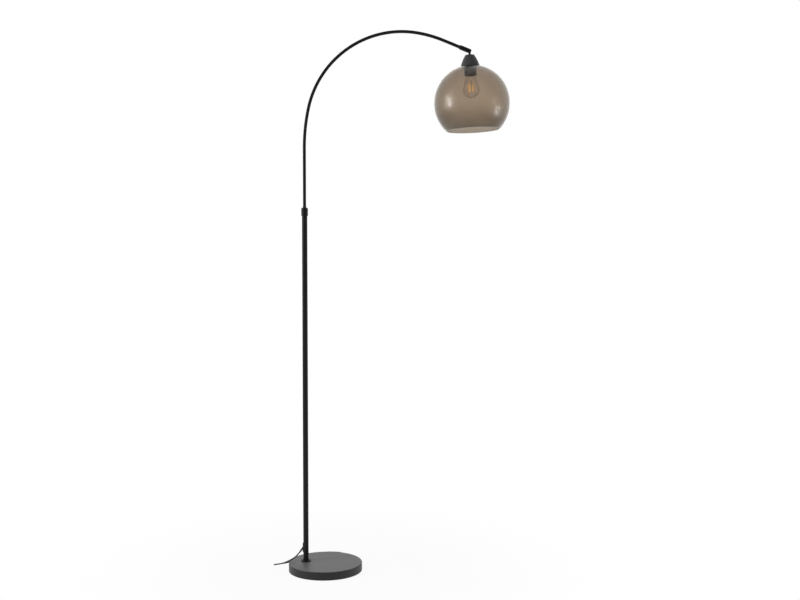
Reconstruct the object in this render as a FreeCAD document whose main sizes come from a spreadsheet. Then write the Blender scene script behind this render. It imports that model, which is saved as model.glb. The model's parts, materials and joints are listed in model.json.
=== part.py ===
"""Globe floor lamp: a weighted round base, a two-piece pole, a telescopic arched arm
and an open smoked globe that tilts on a small knuckle joint.

Frame: origin at the centre of the base, on the floor, +Z up. The arm reaches out along +X
and the pole stands on the -X side of the base. All sizes are in millimetres and degrees.
"""
import FreeCAD, Part
import math
import os
import Sketcher
from FreeCAD import Placement, Rotation, Vector

doc = FreeCAD.newDocument("GlobeFloorLamp")

# ---------------------------------------------------------------------------------------
# Driving dimensions
# ---------------------------------------------------------------------------------------
SIZES = {
    # base
    "base_radius": (125, "outer radius of the base cover"),
    "base_height": (29, "top of the base cover above the floor"),
    "cover_wall": (1.2, "sheet thickness of the base cover"),
    "cover_edge": (3, "rounding of the cover's top edge"),
    "cover_curl": (2.2, "width of the cover's bottom edge, turned inwards"),
    "pad_thickness": (1.5, "felt pad under the base"),
    "pad_inset": (6, "how far the pad stays inside the cover's edge"),
    "weight_gap": (0.5, "gap around the cast weight inside the cover"),
    "weight_chamfer": (3, "chamfer of the cast weight"),
    "weight_rib_width": (9, "width of the ribs under the cast weight"),
    "hollow_start": (30, "inner radius of the hollows under the cast weight"),
    "hollow_end": (102.5, "outer radius of those hollows"),
    "weight_hollow": (7, "depth of the hollows between those ribs"),
    # foot fixing
    "pole_offset": (67.8, "pole axis behind the base centre"),
    "foot_ring_radius": (16.3, "ring that the pole stands on"),
    "foot_ring_height": (4, "height of that ring"),
    "stud_radius": (5, "hollow threaded stud"),
    "stud_bore": (3.2, "bore radius of hollow threaded parts"),
    "stud_length": (42, "length of the foot stud"),
    "stud_gap": (0.3, "clearance around the stud"),
    "nut_flats": (14, "width across the flats of the nuts"),
    "nut_height": (4, "height of the foot nut"),
    "washer_radius": (12, "foot washer"),
    "washer_height": (2, "thickness of the foot washer"),
    "pocket_radius": (15, "pocket for washer and nut in the weight"),
    "pocket_depth": (10, "depth of that pocket"),
    "plug_length": (16, "threaded plug in the foot of the pole"),
    # pole
    "pole_radius": (9, "outer radius of the pole tubes"),
    "pole_wall": (1, "wall of the pole tubes"),
    "joint_height": (632.3, "height of the joint between the two pole tubes"),
    "pole_top": (1209.7, "top of the pole"),
    "joint_chamfer": (0.3, "edge break of the tubes at their joint"),
    "joiner_length": (60, "spigot that joins the two pole tubes"),
    "joiner_bore": (4.6, "bore radius of the spigot"),
    "slip_gap": (0.05, "radial gap of parts pushed into a tube"),
    # clamp at the top of the pole
    "head_length": (25, "part of the pole head inside the tube"),
    "head_rim": (1.2, "rim of the pole head, on the end of the tube"),
    "nose_radius": (7.9, "threaded nose of the pole head"),
    "nose_length": (14, "length of that nose"),
    "collar_radius": (11.3, "clamp collar"),
    "collar_height": (27, "height of the clamp collar"),
    "collar_chamfer": (0.8, "chamfers of the clamp collar"),
    "turn_gap": (0.1, "radial gap of parts that turn on each other"),
    "bush_radius": (7.5, "foot of the split bush, inside the collar"),
    "bush_lip_radius": (6.25, "lip of the split bush, above the collar"),
    "bush_lip": (5.7, "height of that lip"),
    "bush_slit": (1.2, "slit of the split bush"),
    # arm
    "arm_radius": (5.25, "outer radius of the arm tube"),
    "arm_wall": (1, "wall of the arm tube"),
    "arm_gap": (0.1, "radial gap between the arm tube and its bush"),
    "arm_bottom": (1040, "lower end of the arm tube, inside the pole"),
    "arm_bend_start": (1438, "height where the arm tube starts to bend"),
    "lead_bend_radius": (617, "first, gentle bend"),
    "lead_bend_turn": (12.5, "turn of the first bend"),
    "main_bend_radius": (316, "main bend of the arch"),
    "main_bend_turn": (87.5, "turn of the main bend"),
    "end_bend_radius": (412, "last bend of the arch"),
    "end_bend_turn": (13.2, "turn of the last bend"),
    "arm_end_run": (55, "straight end of the arm tube"),
    "guide_length": (15, "guide sleeve on the lower end of the arm tube"),
    "guide_gap": (0.1, "radial gap of the guide sleeve in the pole"),
    "guide_lip": (1.5, "lip under the end of the arm tube"),
    # knuckle at the tip of the arm
    "fork_radius": (7.5, "outer radius of the fork"),
    "fork_spigot": (14, "part of the fork inside the arm tube"),
    "fork_cone": (7, "length of the fork's cone"),
    "fork_reach": (39, "from the end of the arm tube to the pivot"),
    "fork_nose": (5, "from the pivot to the end of the fork"),
    "fork_bore": (2.4, "bore radius for the lead"),
    "slot_width": (5.4, "slot of the fork"),
    "slot_back": (10.5, "slot behind the pivot"),
    "pivot_radius": (2, "radius of the pivot screw"),
    "pivot_head_radius": (3.4, "head of the pivot screw, and its nut"),
    "pivot_head": (1.8, "height of that head"),
    "pivot_recess": (2.2, "depth of the recess for the head"),
    "tongue_width": (7, "tongue in the fork, seen from the side"),
    "tongue_thickness": (4, "thickness of the tongue"),
    "washer_gap": (0.1, "gap between the tongue and each friction washer"),
    "friction_radius": (3.5, "friction washers in the fork"),
    "stem_shoulder": (11, "shoulder of the stem below the pivot"),
    "stem_shoulder_radius": (6.3, "radius of that shoulder"),
    "stem_shoulder_height": (1.5, "thickness of that shoulder"),
    "stem_thread": (19.5, "threaded end of the stem"),
    "stem_hole": (1.5, "radius of the lead's hole in the stem"),
    "shade_lean": (2.8, "how far the shade hangs outwards"),
    # cup and lampholder
    "cup_top_radius": (14.5, "flat top of the cup"),
    "cup_radius": (31.5, "bottom edge of the cup"),
    "cup_flank_radius": (140, "gentle bulge of the cup's side"),
    "cup_wall": (1.2, "sheet thickness of the cup"),
    "cup_shoulder": (3.5, "rounding of the cup's shoulder"),
    "stem_nut_height": (3.5, "nut inside the cup"),
    "holder_radius": (19.8, "threaded skirt of the lampholder"),
    "holder_wall": (2.7, "wall of that skirt"),
    "holder_end": (80, "end of the skirt below the pivot"),
    "holder_flange_radius": (23.5, "flange of the lampholder on the glass"),
    "holder_flange": (4.5, "height of that flange"),
    "holder_cap_radius": (16.5, "cap of the lampholder, inside the cup"),
    "holder_floor": (44, "floor of the lampholder below the pivot"),
    "core_height": (4, "insulating core on that floor"),
    "shell_bore": (13.6, "bore radius of the brass screw shell"),
    "shell_wall": (0.7, "sheet thickness of the screw shell"),
    "shell_length": (28, "length of the screw shell"),
    "ring_radius": (24, "ring that clamps the globe from inside"),
    "ring_height": (5.5, "height of that ring"),
    # globe
    "globe_radius": (125, "outer radius of the globe"),
    "globe_wall": (2, "wall of the globe"),
    "globe_drop": (171, "from the pivot to the centre of the globe"),
    "mouth_radius": (88.3, "open mouth of the globe"),
    "hole_radius": (20.8, "hole for the lampholder"),
    "seat_gap": (0.2, "gap where rigid parts seat on the glass"),
    # bulb
    "bulb_top": (49.9, "contact of the bulb below the pivot"),
    "bulb_tip": (154, "tip of the bulb below the pivot"),
    "bulb_radius": (27.5, "radius of the bulb"),
    "bulb_wall": (0.8, "glass of the bulb"),
    "bulb_neck": (12.2, "radius of the bulb's neck in its cap"),
    "bulb_throat": (14.5, "radius of the bulb where its neck ends"),
    "bulb_throat_drop": (86, "height of that place below the pivot"),
    "bulb_flank_radius": (95, "curve of the flank of the bulb"),
    "bulb_shoulder": (10, "flank's end above the centre of the bulb's round end"),
    "bulb_cap_radius": (13.2, "screw cap of the bulb"),
    "bulb_cap_length": (26, "length of the screw cap"),
    "filament_length": (32, "light sticks in the bulb"),
    "filament_radius": (1, "radius of a light stick"),
    "filament_spread": (9.5, "distance of their upper ends from the axis"),
    "filament_drop": (107, "their upper ends below the pivot"),
    # leads inside the lamp
    "lead_radius": (2, "lead inside pole and arm"),
    "lead_bend": (5, "bend of the lead inside the pole"),
    "stem_lead_radius": (1.2, "lead inside the stem"),
    # mains cord
    "cord_radius": (2.25, "mains cord"),
    "cord_exit_height": (76, "height where the cord leaves the pole"),
    "relief_height": (34, "height of the rubber plate on the pole"),
    "relief_width": (9, "width of that plate"),
    "relief_proud": (1.6, "how far it stands out of the pole"),
    "relief_length": (20, "tapered spout of the strain relief"),
    "relief_pitch": (52, "slope of the spout"),
    "relief_turn": (-12, "turn of the spout, towards the front where negative"),
    "hank_gap": (0.45, "gap between the turns of the hank"),
    "hank_bend": (13.6, "radius of the hank's innermost bends"),
    "hank_run": (27, "straight runs of the hank"),
    "hank_turns": (3, "turns in each of the two layers"),
    "tie_width": (10, "strap around the hank"),
    "tie_wall": (0.8, "thickness of that strap"),
    "tie_gap": (0.2, "gap between strap and hank"),
    "floor_gap": (0.05, "gap between the floor and what lies on it"),
    # switch on the cord
    "switch_length": (52, "cord switch"),
    "switch_width": (22, "width of the cord switch"),
    "switch_tail": (11, "width of its ends"),
    "switch_height": (14.5, "height of the cord switch"),
    "switch_split": (7.5, "height of the joint between its two halves"),
    "switch_edge": (2.5, "rounding of its edges"),
    "rocker_axis": (10, "height of the rocker's axis in the switch"),
    "rocker_radius": (6.6, "round sides of the rocker"),
    "rocker_top": (4.2, "top edges of the rocker above its axis"),
    "rocker_dip": (2.9, "middle of the rocker's top above its axis"),
    "rocker_foot": (1.2, "underside of the rocker below its axis"),
    "rocker_width": (10, "width of the rocker"),
    "rocker_gap": (0.3, "gap around the rocker"),
    "rocker_tilt": (8, "tilt of the rocker at rest"),
    "trunnion_radius": (1.2, "pins that the rocker turns on"),
    "trunnion_reach": (6.2, "how far they reach from its middle"),
    "trunnion_gap": (0.06, "radial gap around them"),
    # plug
    "plug_body": (26, "wide part of the flat two-pin plug"),
    "plug_tail": (40, "whole length of the plug without its pins"),
    "plug_width": (35, "width of the plug at its pins"),
    "plug_height": (13.7, "thickness of the plug"),
    "plug_edge": (2.5, "rounding of the plug"),
    "plug_tail_radius": (3, "thin end of the plug's tail"),
    "pin_radius": (2, "pins of the plug"),
    "pin_length": (19, "length of the pins"),
    "pin_root": (8, "part of the pins inside the plug"),
    "pin_spacing": (18.6, "distance between the pins"),
}

sheet = doc.addObject("Spreadsheet::Sheet", "Sizes")
for row, (alias, (number, note)) in enumerate(SIZES.items(), start=1):
    sheet.set("A%d" % row, note)
    sheet.set("B%d" % row, str(number))
    sheet.setAlias("B%d" % row, alias)
doc.recompute()

PARTS = []


def size(text):
    """Value of an expression on the sheet's names, as a plain number."""
    return float(sheet.evalExpression(text))


def bound(text):
    """The same expression as another object of the document has to write it."""
    words = []
    word = ""
    for letter in text + " ":
        if letter.isalnum() or letter == "_":
            word += letter
            continue
        words.append("Sizes." + word if word in SIZES else word)
        words.append(letter)
        word = ""
    return "".join(words).strip()


def is_number(text):
    return text.replace(".", "", 1).replace("-", "", 1).isdigit()


def bind(obj, prop, text):
    """Give a property its value, and bind it to the sheet where it names a size."""
    obj.setExpression(prop, bound(text))


# ---------------------------------------------------------------------------------------
# Places that several parts share, as expressions on the sheet's names
# ---------------------------------------------------------------------------------------
POLE_BORE = "(pole_radius - pole_wall)"
WEIGHT_TOP = "(base_height - cover_wall)"
FOOT_TOP = "(base_height + foot_ring_height)"
POCKET_CEILING = "(pad_thickness + pocket_depth)"
STUD_BOTTOM = "(pad_thickness + pocket_depth - washer_height - nut_height - 1)"
ARM_BORE = "(arm_radius - arm_wall)"
COLLAR_TOP = "(pole_top + collar_height)"
NOSE_TOP = "(pole_top + head_rim + nose_length)"
TURN_ONE = "lead_bend_turn"
TURN_TWO = "(lead_bend_turn + main_bend_turn)"
TURN_ALL = "(lead_bend_turn + main_bend_turn + end_bend_turn)"
# the end of the arm tube: each bend adds its chord to the one before
ARM_END_X = ("(-pole_offset + lead_bend_radius * (1 - cos(%s))"
             " + main_bend_radius * (cos(%s) - cos(%s))"
             " + end_bend_radius * (cos(%s) - cos(%s)) + arm_end_run * sin(%s))"
             % (TURN_ONE, TURN_ONE, TURN_TWO, TURN_TWO, TURN_ALL, TURN_ALL))
ARM_END_Z = ("(arm_bend_start + lead_bend_radius * sin(%s)"
             " + main_bend_radius * (sin(%s) - sin(%s))"
             " + end_bend_radius * (sin(%s) - sin(%s)) + arm_end_run * cos(%s))"
             % (TURN_ONE, TURN_TWO, TURN_ONE, TURN_ALL, TURN_TWO, TURN_ALL))
PIVOT_X = "(%s + fork_reach * sin(%s))" % (ARM_END_X, TURN_ALL)
PIVOT_Z = "(%s + fork_reach * cos(%s))" % (ARM_END_Z, TURN_ALL)
# heights below the pivot, in the frame of the shade
CUP_TOP = "(stem_shoulder + stem_shoulder_height)"
GLOBE_INNER = "(globe_radius - globe_wall)"


def globe_drop_at(radius, ball="globe_radius"):
    """Depth below the pivot of the globe's upper surface at a distance from its axis."""
    return "(globe_drop - sqrt(%s ^ 2 - %s ^ 2))" % (ball, radius)


CUP_BOTTOM = "(%s - seat_gap)" % globe_drop_at("(cup_radius - cup_wall)")
FLANGE_BOTTOM = "(%s - seat_gap)" % globe_drop_at("hole_radius")
RING_TOP = "(%s + seat_gap)" % globe_drop_at("ring_radius", GLOBE_INNER)
MOUTH_DROP = "(globe_drop + sqrt(globe_radius ^ 2 - mouth_radius ^ 2))"
BULB_CENTRE = "(bulb_tip - bulb_radius)"


# ---------------------------------------------------------------------------------------
# Ways to make a part
# ---------------------------------------------------------------------------------------
def new_body(label):
    body = doc.addObject("PartDesign::Body", label)
    body.Label = label
    PARTS.append(body)
    return body


def new_sketch(body, plane, name):
    """A sketch on one of the body's own origin planes."""
    sketch = body.newObject("Sketcher::SketchObject", body.Label + "_" + name)
    role = [f for f in body.Origin.OriginFeatures if f.Role == plane][0]
    sketch.AttachmentSupport = [(role, "")]
    sketch.MapMode = "FlatFace"
    doc.recompute()
    return sketch


def pin_point(sketch, geometry, end, x, y):
    """Hold one end of a line or arc at a place given by two expressions."""
    for kind, text in (("DistanceX", x), ("DistanceY", y)):
        number = sketch.addConstraint(
            Sketcher.Constraint(kind, -1, 1, geometry, end, size(text)))
        if not is_number(text):
            sketch.setExpression("Constraints[%d]" % number, bound(text))


def arc_between(start, end, radius, side):
    """Short arc from start to end; side is 1 where its centre lies left of that way.

    It always runs anticlockwise, so from end to start where side is -1.
    """
    chord = end.sub(start)
    normal = Vector(-chord.y, chord.x, 0).normalize()
    drop = math.sqrt(radius ** 2 - (chord.Length / 2) ** 2)
    centre = start + chord * 0.5 + normal * (side * drop)
    first, last = (start, end) if side > 0 else (end, start)
    angles = [math.atan2(spot.y - centre.y, spot.x - centre.x) for spot in (first, last)]
    if angles[1] < angles[0]:
        angles[1] += 2 * math.pi
    return Part.ArcOfCircle(Part.Circle(centre, Vector(0, 0, 1), radius), *angles)


def draw_outline(sketch, corners):
    """Closed outline through corners (x, y); (x, y, radius, side) comes in on an arc."""
    spots = [Vector(size(c[0]), size(c[1]), 0) for c in corners]
    ends = []
    for i, corner in enumerate(corners):
        start, end = spots[i - 1], spots[i]
        if len(corner) == 2:
            geometry = sketch.addGeometry(Part.LineSegment(start, end), False)
            ends.append((geometry, 1, 2))
            continue
        arc = arc_between(start, end, size(corner[2]), corner[3])
        geometry = sketch.addGeometry(arc, False)
        laid = sketch.Geometry[geometry]
        forward = laid.StartPoint.distanceToPoint(start) < laid.StartPoint.distanceToPoint(end)
        ends.append((geometry, 1, 2) if forward else (geometry, 2, 1))
        number = sketch.addConstraint(
            Sketcher.Constraint("Radius", geometry, size(corner[2])))
        sketch.setExpression("Constraints[%d]" % number, bound(corner[2]))
    for i, corner in enumerate(corners):
        here, following = ends[i], ends[(i + 1) % len(ends)]
        sketch.addConstraint(Sketcher.Constraint(
            "Coincident", here[0], here[2], following[0], following[1]))
        pin_point(sketch, here[0], here[2], corner[0], corner[1])


def draw_circle(sketch, radius, x="0", y="0"):
    centre = Vector(size(x), size(y), 0)
    circle = sketch.addGeometry(Part.Circle(centre, Vector(0, 0, 1), size(radius)), False)
    number = sketch.addConstraint(Sketcher.Constraint("Radius", circle, size(radius)))
    sketch.setExpression("Constraints[%d]" % number, bound(radius))
    pin_point(sketch, circle, 3, x, y)
    return circle


def turn(body, corners, cut=False, name="profile"):
    """Revolve an outline of (radius, height) corners about the body's Z axis."""
    sketch = new_sketch(body, "XZ_Plane", name)
    draw_outline(sketch, corners)
    kind = "PartDesign::Groove" if cut else "PartDesign::Revolution"
    feature = body.newObject(kind, body.Label + "_turn_" + name)
    feature.Profile = sketch
    feature.ReferenceAxis = (sketch, ["V_Axis"])
    feature.Angle = 360
    doc.recompute()
    return feature


def pad(body, sketch, length, both_ways=False, reverse=False):
    feature = body.newObject("PartDesign::Pad", sketch.Name + "_pad")
    feature.Profile = sketch
    feature.Midplane = both_ways
    feature.Reversed = reverse
    bind(feature, "Length", length)
    doc.recompute()
    return feature


def pocket(body, sketch, length=None, both_ways=False, reverse=False):
    """Cut a sketch out of the body; it has to take material away."""
    before = body.Shape.Volume
    feature = body.newObject("PartDesign::Pocket", sketch.Name + "_pocket")
    feature.Profile = sketch
    feature.Midplane = both_ways
    feature.Reversed = reverse
    if length is None:
        feature.Type = "ThroughAll"
    else:
        bind(feature, "Length", length)
    doc.recompute()
    if body.Shape.Volume >= before:
        raise ValueError(body.Label + ": a pocket cuts nothing")
    return feature


def round_edges(body, radius, chosen, chamfer=False):
    """Round or chamfer the edges of the body's last feature for which chosen(edge) holds."""
    base = body.Tip
    names = ["Edge%d" % (i + 1) for i, edge in enumerate(base.Shape.Edges) if chosen(edge)]
    if not names:
        raise ValueError(body.Label + ": no edge to round")
    kind = "PartDesign::Chamfer" if chamfer else "PartDesign::Fillet"
    feature = body.newObject(kind, body.Label + ("_chamfer" if chamfer else "_rounding"))
    feature.Base = (base, names)
    bind(feature, "Size" if chamfer else "Radius", radius)
    doc.recompute()
    return feature


def is_ring(edge, radius, height):
    """True for a whole circle about the Z axis with this radius and height."""
    return (len(edge.Vertexes) == 1 and isinstance(edge.Curve, Part.Circle)
            and abs(edge.Curve.Radius - radius) < 1e-6
            and abs(edge.Curve.Center.z - height) < 1e-6)


def stand_at(obj, x="0", y="0", z="0"):
    """Place a part by expressions, without turning it."""
    for letter, text in (("x", x), ("y", y), ("z", z)):
        obj.setExpression("Placement.Base." + letter, bound(text))


def hang_on_pivot(obj):
    """Place a part that is drawn in the frame of the shade: origin at the pivot."""
    obj.Placement.Rotation = Rotation(Vector(0, -1, 0), size("shade_lean"))
    obj.setExpression("Placement.Rotation.Angle", bound("shade_lean"))
    stand_at(obj, PIVOT_X, "0", PIVOT_Z)


def tube_profile(inner, outer, low, high):
    return [(inner, low), (outer, low), (outer, high), (inner, high)]


def hexagon(sketch, flats, x="0", y="0"):
    """Regular hexagon with its flats facing +Y and -Y."""
    corners = []
    for i in range(6):
        corner = "%s / sqrt(3)" % flats
        corners.append(("%s * cos(%d) + %s" % (corner, 60 * i, x),
                        "%s * sin(%d) + %s" % (corner, 60 * i, y)))
    draw_outline(sketch, corners)


# ---------------------------------------------------------------------------------------
# Base
# ---------------------------------------------------------------------------------------
def felt_pad():
    body = new_body("felt_pad")
    rim = "base_radius - pad_inset"
    turn(body, [("0", "0"), (rim, "0"), (rim, "pad_thickness"), ("0", "pad_thickness")])


def base_weight():
    """Cast disc with ribs below, a hole for the stud and a pocket for its nut."""
    body = new_body("base_weight")
    rim = "base_radius - cover_wall - weight_gap"
    edge = "base_radius - cover_wall - weight_gap - weight_chamfer"
    foot = "base_radius - pad_inset"
    turn(body, [("0", "pad_thickness"), (foot, "pad_thickness"),
                (rim, "pad_thickness + weight_chamfer"),
                (rim, WEIGHT_TOP + " - weight_chamfer"), (edge, WEIGHT_TOP),
                ("0", WEIGHT_TOP)])
    # hollows between the ribs: quarter rings cut from below, all but the pole's quarter
    for number, start in enumerate((-45, 45, -135)):
        sketch = new_sketch(body, "XY_Plane", "hollow%d" % number)
        draw_hollow(sketch, start)
        pocket(body, sketch, "pad_thickness + weight_hollow", reverse=True)
    sketch = new_sketch(body, "XY_Plane", "pocket")
    draw_circle(sketch, "pocket_radius", "-pole_offset")
    pocket(body, sketch, POCKET_CEILING, reverse=True)
    sketch = new_sketch(body, "XY_Plane", "stud_hole")
    draw_circle(sketch, "stud_radius + stud_gap", "-pole_offset")
    pocket(body, sketch, reverse=True)


def draw_hollow(sketch, start):
    """Quarter of a ring, half a rib short on both straight sides."""
    inner, outer = size("hollow_start"), size("hollow_end")
    half_rib = size("weight_rib_width") / 2
    turn_in = math.degrees(math.asin(half_rib / inner))
    turn_out = math.degrees(math.asin(half_rib / outer))
    spots = []
    for radius, angle in ((inner, start + turn_in), (outer, start + turn_out),
                          (outer, start + 45), (outer, start + 90 - turn_out),
                          (inner, start + 90 - turn_in), (inner, start + 45)):
        turned = math.radians(angle)
        spots.append(Vector(radius * math.cos(turned), radius * math.sin(turned), 0))
    sketch.addGeometry(Part.LineSegment(spots[0], spots[1]), False)
    sketch.addGeometry(Part.Arc(spots[1], spots[2], spots[3]), False)
    sketch.addGeometry(Part.LineSegment(spots[3], spots[4]), False)
    sketch.addGeometry(Part.Arc(spots[0], spots[5], spots[4]), False)


def base_cover():
    """Spun steel cover with a rounded edge and its bottom edge turned in."""
    body = new_body("base_cover")
    inner = "base_radius - cover_wall"
    curl = "base_radius - cover_curl"
    low = "pad_thickness"
    turn(body, [("0", "base_height"), ("0", WEIGHT_TOP), (inner, WEIGHT_TOP),
                (inner, low + " + cover_wall"), (curl, low + " + cover_wall"), (curl, low),
                ("base_radius", low), ("base_radius", "base_height")])
    round_edges(body, "cover_edge",
                lambda e: is_ring(e, size("base_radius"), size("base_height")))
    sketch = new_sketch(body, "XY_Plane", "stud_hole")
    draw_circle(sketch, "stud_radius + stud_gap", "-pole_offset")
    pocket(body, sketch, reverse=True)


def foot_fixing():
    """Washer, nut and hollow stud that hold the pole down on the weight."""
    washer = new_body("foot_washer")
    top = POCKET_CEILING
    turn(washer, tube_profile("stud_radius + stud_gap", "washer_radius",
                              top + " - washer_height", top))
    stand_at(washer, "-pole_offset")

    nut = new_body("foot_nut")
    sketch = new_sketch(nut, "XY_Plane", "flats")
    hexagon(sketch, "nut_flats")
    draw_circle(sketch, "stud_radius")
    pad(nut, sketch, "nut_height")
    stand_at(nut, "-pole_offset", "0", top + " - washer_height - nut_height")

    stud = new_body("foot_stud")
    turn(stud, tube_profile("stud_bore", "stud_radius", STUD_BOTTOM,
                            STUD_BOTTOM + " + stud_length"))
    stand_at(stud, "-pole_offset")


def foot_ring():
    body = new_body("foot_ring")
    turn(body, tube_profile("stud_radius + stud_gap", "foot_ring_radius",
                            "base_height", FOOT_TOP))
    round_edges(body, "foot_ring_height / 3",
                lambda e: is_ring(e, size("foot_ring_radius"), size(FOOT_TOP)))
    stand_at(body, "-pole_offset")


# ---------------------------------------------------------------------------------------
# Pole
# ---------------------------------------------------------------------------------------
def foot_plug():
    """Threaded plug brazed into the foot of the pole."""
    body = new_body("pole_foot_plug")
    turn(body, tube_profile("stud_radius", POLE_BORE + " - slip_gap", FOOT_TOP,
                            FOOT_TOP + " + plug_length"))
    stand_at(body, "-pole_offset")


def break_joint_edge(body):
    """Small chamfer on the outer edge of a pole tube where the two tubes meet."""
    round_edges(body, "joint_chamfer",
                lambda e: is_ring(e, size("pole_radius"), size("joint_height")), True)


def lower_pole_tube():
    """Lower tube, with an oblong hole at its back for the cord."""
    body = new_body("lower_pole_tube")
    turn(body, tube_profile(POLE_BORE, "pole_radius", FOOT_TOP, "joint_height"))
    break_joint_edge(body)
    sketch = new_sketch(body, "YZ_Plane", "cord_hole")
    draw_oblong(sketch, "relief_width / 2 - 1.2", "relief_height / 2 - 1.2",
                "cord_exit_height")
    pocket(body, sketch, "2 * pole_radius")
    stand_at(body, "-pole_offset")


def draw_oblong(sketch, half_width, half_height, middle):
    """Upright oblong with round ends, about (0, middle)."""
    side = size(half_width)
    straight = size(half_height) - side
    low, high = size(middle) - straight, size(middle) + straight
    right_low, right_high = Vector(side, low, 0), Vector(side, high, 0)
    left_high, left_low = Vector(-side, high, 0), Vector(-side, low, 0)
    top, bottom = Vector(0, high + side, 0), Vector(0, low - side, 0)
    sketch.addGeometry(Part.LineSegment(right_low, right_high), False)
    sketch.addGeometry(Part.Arc(right_high, top, left_high), False)
    sketch.addGeometry(Part.LineSegment(left_high, left_low), False)
    sketch.addGeometry(Part.Arc(left_low, bottom, right_low), False)


def upper_pole_tube():
    body = new_body("upper_pole_tube")
    turn(body, tube_profile(POLE_BORE, "pole_radius", "joint_height", "pole_top"))
    break_joint_edge(body)
    stand_at(body, "-pole_offset")


def pole_joiner():
    """Hollow spigot across the joint of the two pole tubes."""
    body = new_body("pole_joiner")
    turn(body, tube_profile("joiner_bore", POLE_BORE + " - slip_gap",
                            "joint_height - joiner_length / 2",
                            "joint_height + joiner_length / 2"))
    stand_at(body, "-pole_offset")


def pole_head():
    """Threaded head at the top of the pole, with a rim on the end of the tube."""
    body = new_body("pole_head")
    bore = "arm_radius + arm_gap + 0.15"
    spigot = POLE_BORE + " - slip_gap"
    rim_top = "pole_top + head_rim"
    turn(body, [(bore, "pole_top - head_length"), (spigot, "pole_top - head_length"),
                (spigot, "pole_top"), ("pole_radius", "pole_top"), ("pole_radius", rim_top),
                ("nose_radius", rim_top), ("nose_radius", NOSE_TOP), (bore, NOSE_TOP)])
    stand_at(body, "-pole_offset")


def clamp_collar():
    """Collar screwed on the head: its tapered bore closes the split bush on the arm."""
    body = new_body("clamp_collar")
    low, top = "pole_top + 0.1", COLLAR_TOP
    chamfer = "collar_chamfer"
    rim_room = "pole_radius + turn_gap"
    thread = "nose_radius + turn_gap"
    foot = "bush_radius + turn_gap"
    mouth = "bush_lip_radius + turn_gap"
    turn(body, [(rim_room, low), ("collar_radius - " + chamfer, low),
                ("collar_radius", low + " + " + chamfer),
                ("collar_radius", top + " - " + chamfer),
                ("collar_radius - " + chamfer, top), (mouth, top),
                (mouth, top + " - 2"), (foot, NOSE_TOP + " + 3"),
                (thread, NOSE_TOP + " + 2.4"),
                (thread, "pole_top + head_rim + 0.4"), (rim_room, "pole_top + head_rim + 0.4")])
    stand_at(body, "-pole_offset")


def clamp_bush():
    """Split nylon bush that grips the arm tube."""
    body = new_body("clamp_bush")
    bore = "arm_radius + arm_gap"
    top = COLLAR_TOP + " + bush_lip"
    low = NOSE_TOP + " + 0.2"
    turn(body, [(bore, low), ("bush_radius", low), ("bush_radius", low + " + 2.4"),
                ("bush_lip_radius", COLLAR_TOP + " - 2.4"),
                ("bush_lip_radius", top + " - 1"), ("bush_lip_radius - 0.6", top),
                (bore, top)])
    sketch = new_sketch(body, "XZ_Plane", "slit")
    half = "bush_slit / 2"
    draw_outline(sketch, [("-" + half, low + " + 2.4"), (half, low + " + 2.4"),
                          (half, top + " + 1"), ("-" + half, top + " + 1")])
    pocket(body, sketch, "2 * bush_radius", reverse=True)
    stand_at(body, "-pole_offset")


# ---------------------------------------------------------------------------------------
# Arm
# ---------------------------------------------------------------------------------------
BENDS = (("lead_bend_radius", "lead_bend_turn"), ("main_bend_radius", "main_bend_turn"),
         ("end_bend_radius", "end_bend_turn"))


def draw_arch(sketch, straight, tail):
    """The arm's centreline: up from the origin, three bends and a straight end."""
    here = Vector(0, size(straight), 0)
    last = sketch.addGeometry(Part.LineSegment(Vector(0, 0, 0), here), False)
    last_end = 2
    sketch.addConstraint(Sketcher.Constraint("Coincident", last, 1, -1, 1))
    sketch.addConstraint(Sketcher.Constraint("Vertical", last))
    number = sketch.addConstraint(Sketcher.Constraint("DistanceY", last, 1, last, 2, here.y))
    sketch.setExpression("Constraints[%d]" % number, bound(straight))
    heading = math.radians(90)
    for radius_name, turn_name in BENDS:
        radius, turned = size(radius_name), math.radians(size(turn_name))
        across = Vector(math.sin(heading), -math.cos(heading), 0)
        centre = here + across * radius
        first = heading + math.radians(90)
        circle = Part.Circle(centre, Vector(0, 0, 1), radius)
        arc = sketch.addGeometry(Part.ArcOfCircle(circle, first - turned, first), False)
        heading -= turned
        here = centre - Vector(math.sin(heading), -math.cos(heading), 0) * radius
        sketch.addConstraint(Sketcher.Constraint("Tangent", last, last_end, arc, 2))
        number = sketch.addConstraint(Sketcher.Constraint("Radius", arc, radius))
        sketch.setExpression("Constraints[%d]" % number, bound(radius_name))
        number = sketch.addConstraint(Sketcher.Constraint("Angle", arc, turned))
        sketch.setExpression("Constraints[%d]" % number, bound(turn_name) + " * 1 deg")
        last, last_end = arc, 1
    end = here + Vector(math.cos(heading), math.sin(heading), 0) * size(tail)
    line = sketch.addGeometry(Part.LineSegment(here, end), False)
    sketch.addConstraint(Sketcher.Constraint("Tangent", last, last_end, line, 1))
    number = sketch.addConstraint(
        Sketcher.Constraint("Distance", line, here.distanceToPoint(end)))
    sketch.setExpression("Constraints[%d]" % number, bound(tail))


def sweep_arch(body, radii, straight, tail):
    profile = new_sketch(body, "XY_Plane", "section")
    for radius in radii:
        draw_circle(profile, radius)
    path = new_sketch(body, "XZ_Plane", "centreline")
    draw_arch(path, straight, tail)
    pipe = body.newObject("PartDesign::AdditivePipe", body.Label + "_pipe")
    pipe.Profile = profile
    pipe.Spine = path
    doc.recompute()
    stand_at(body, "-pole_offset", "0", "arm_bottom")


def arm_tube():
    body = new_body("arm_tube")
    sweep_arch(body, ("arm_radius", ARM_BORE), "arm_bend_start - arm_bottom",
               "arm_end_run")


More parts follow.
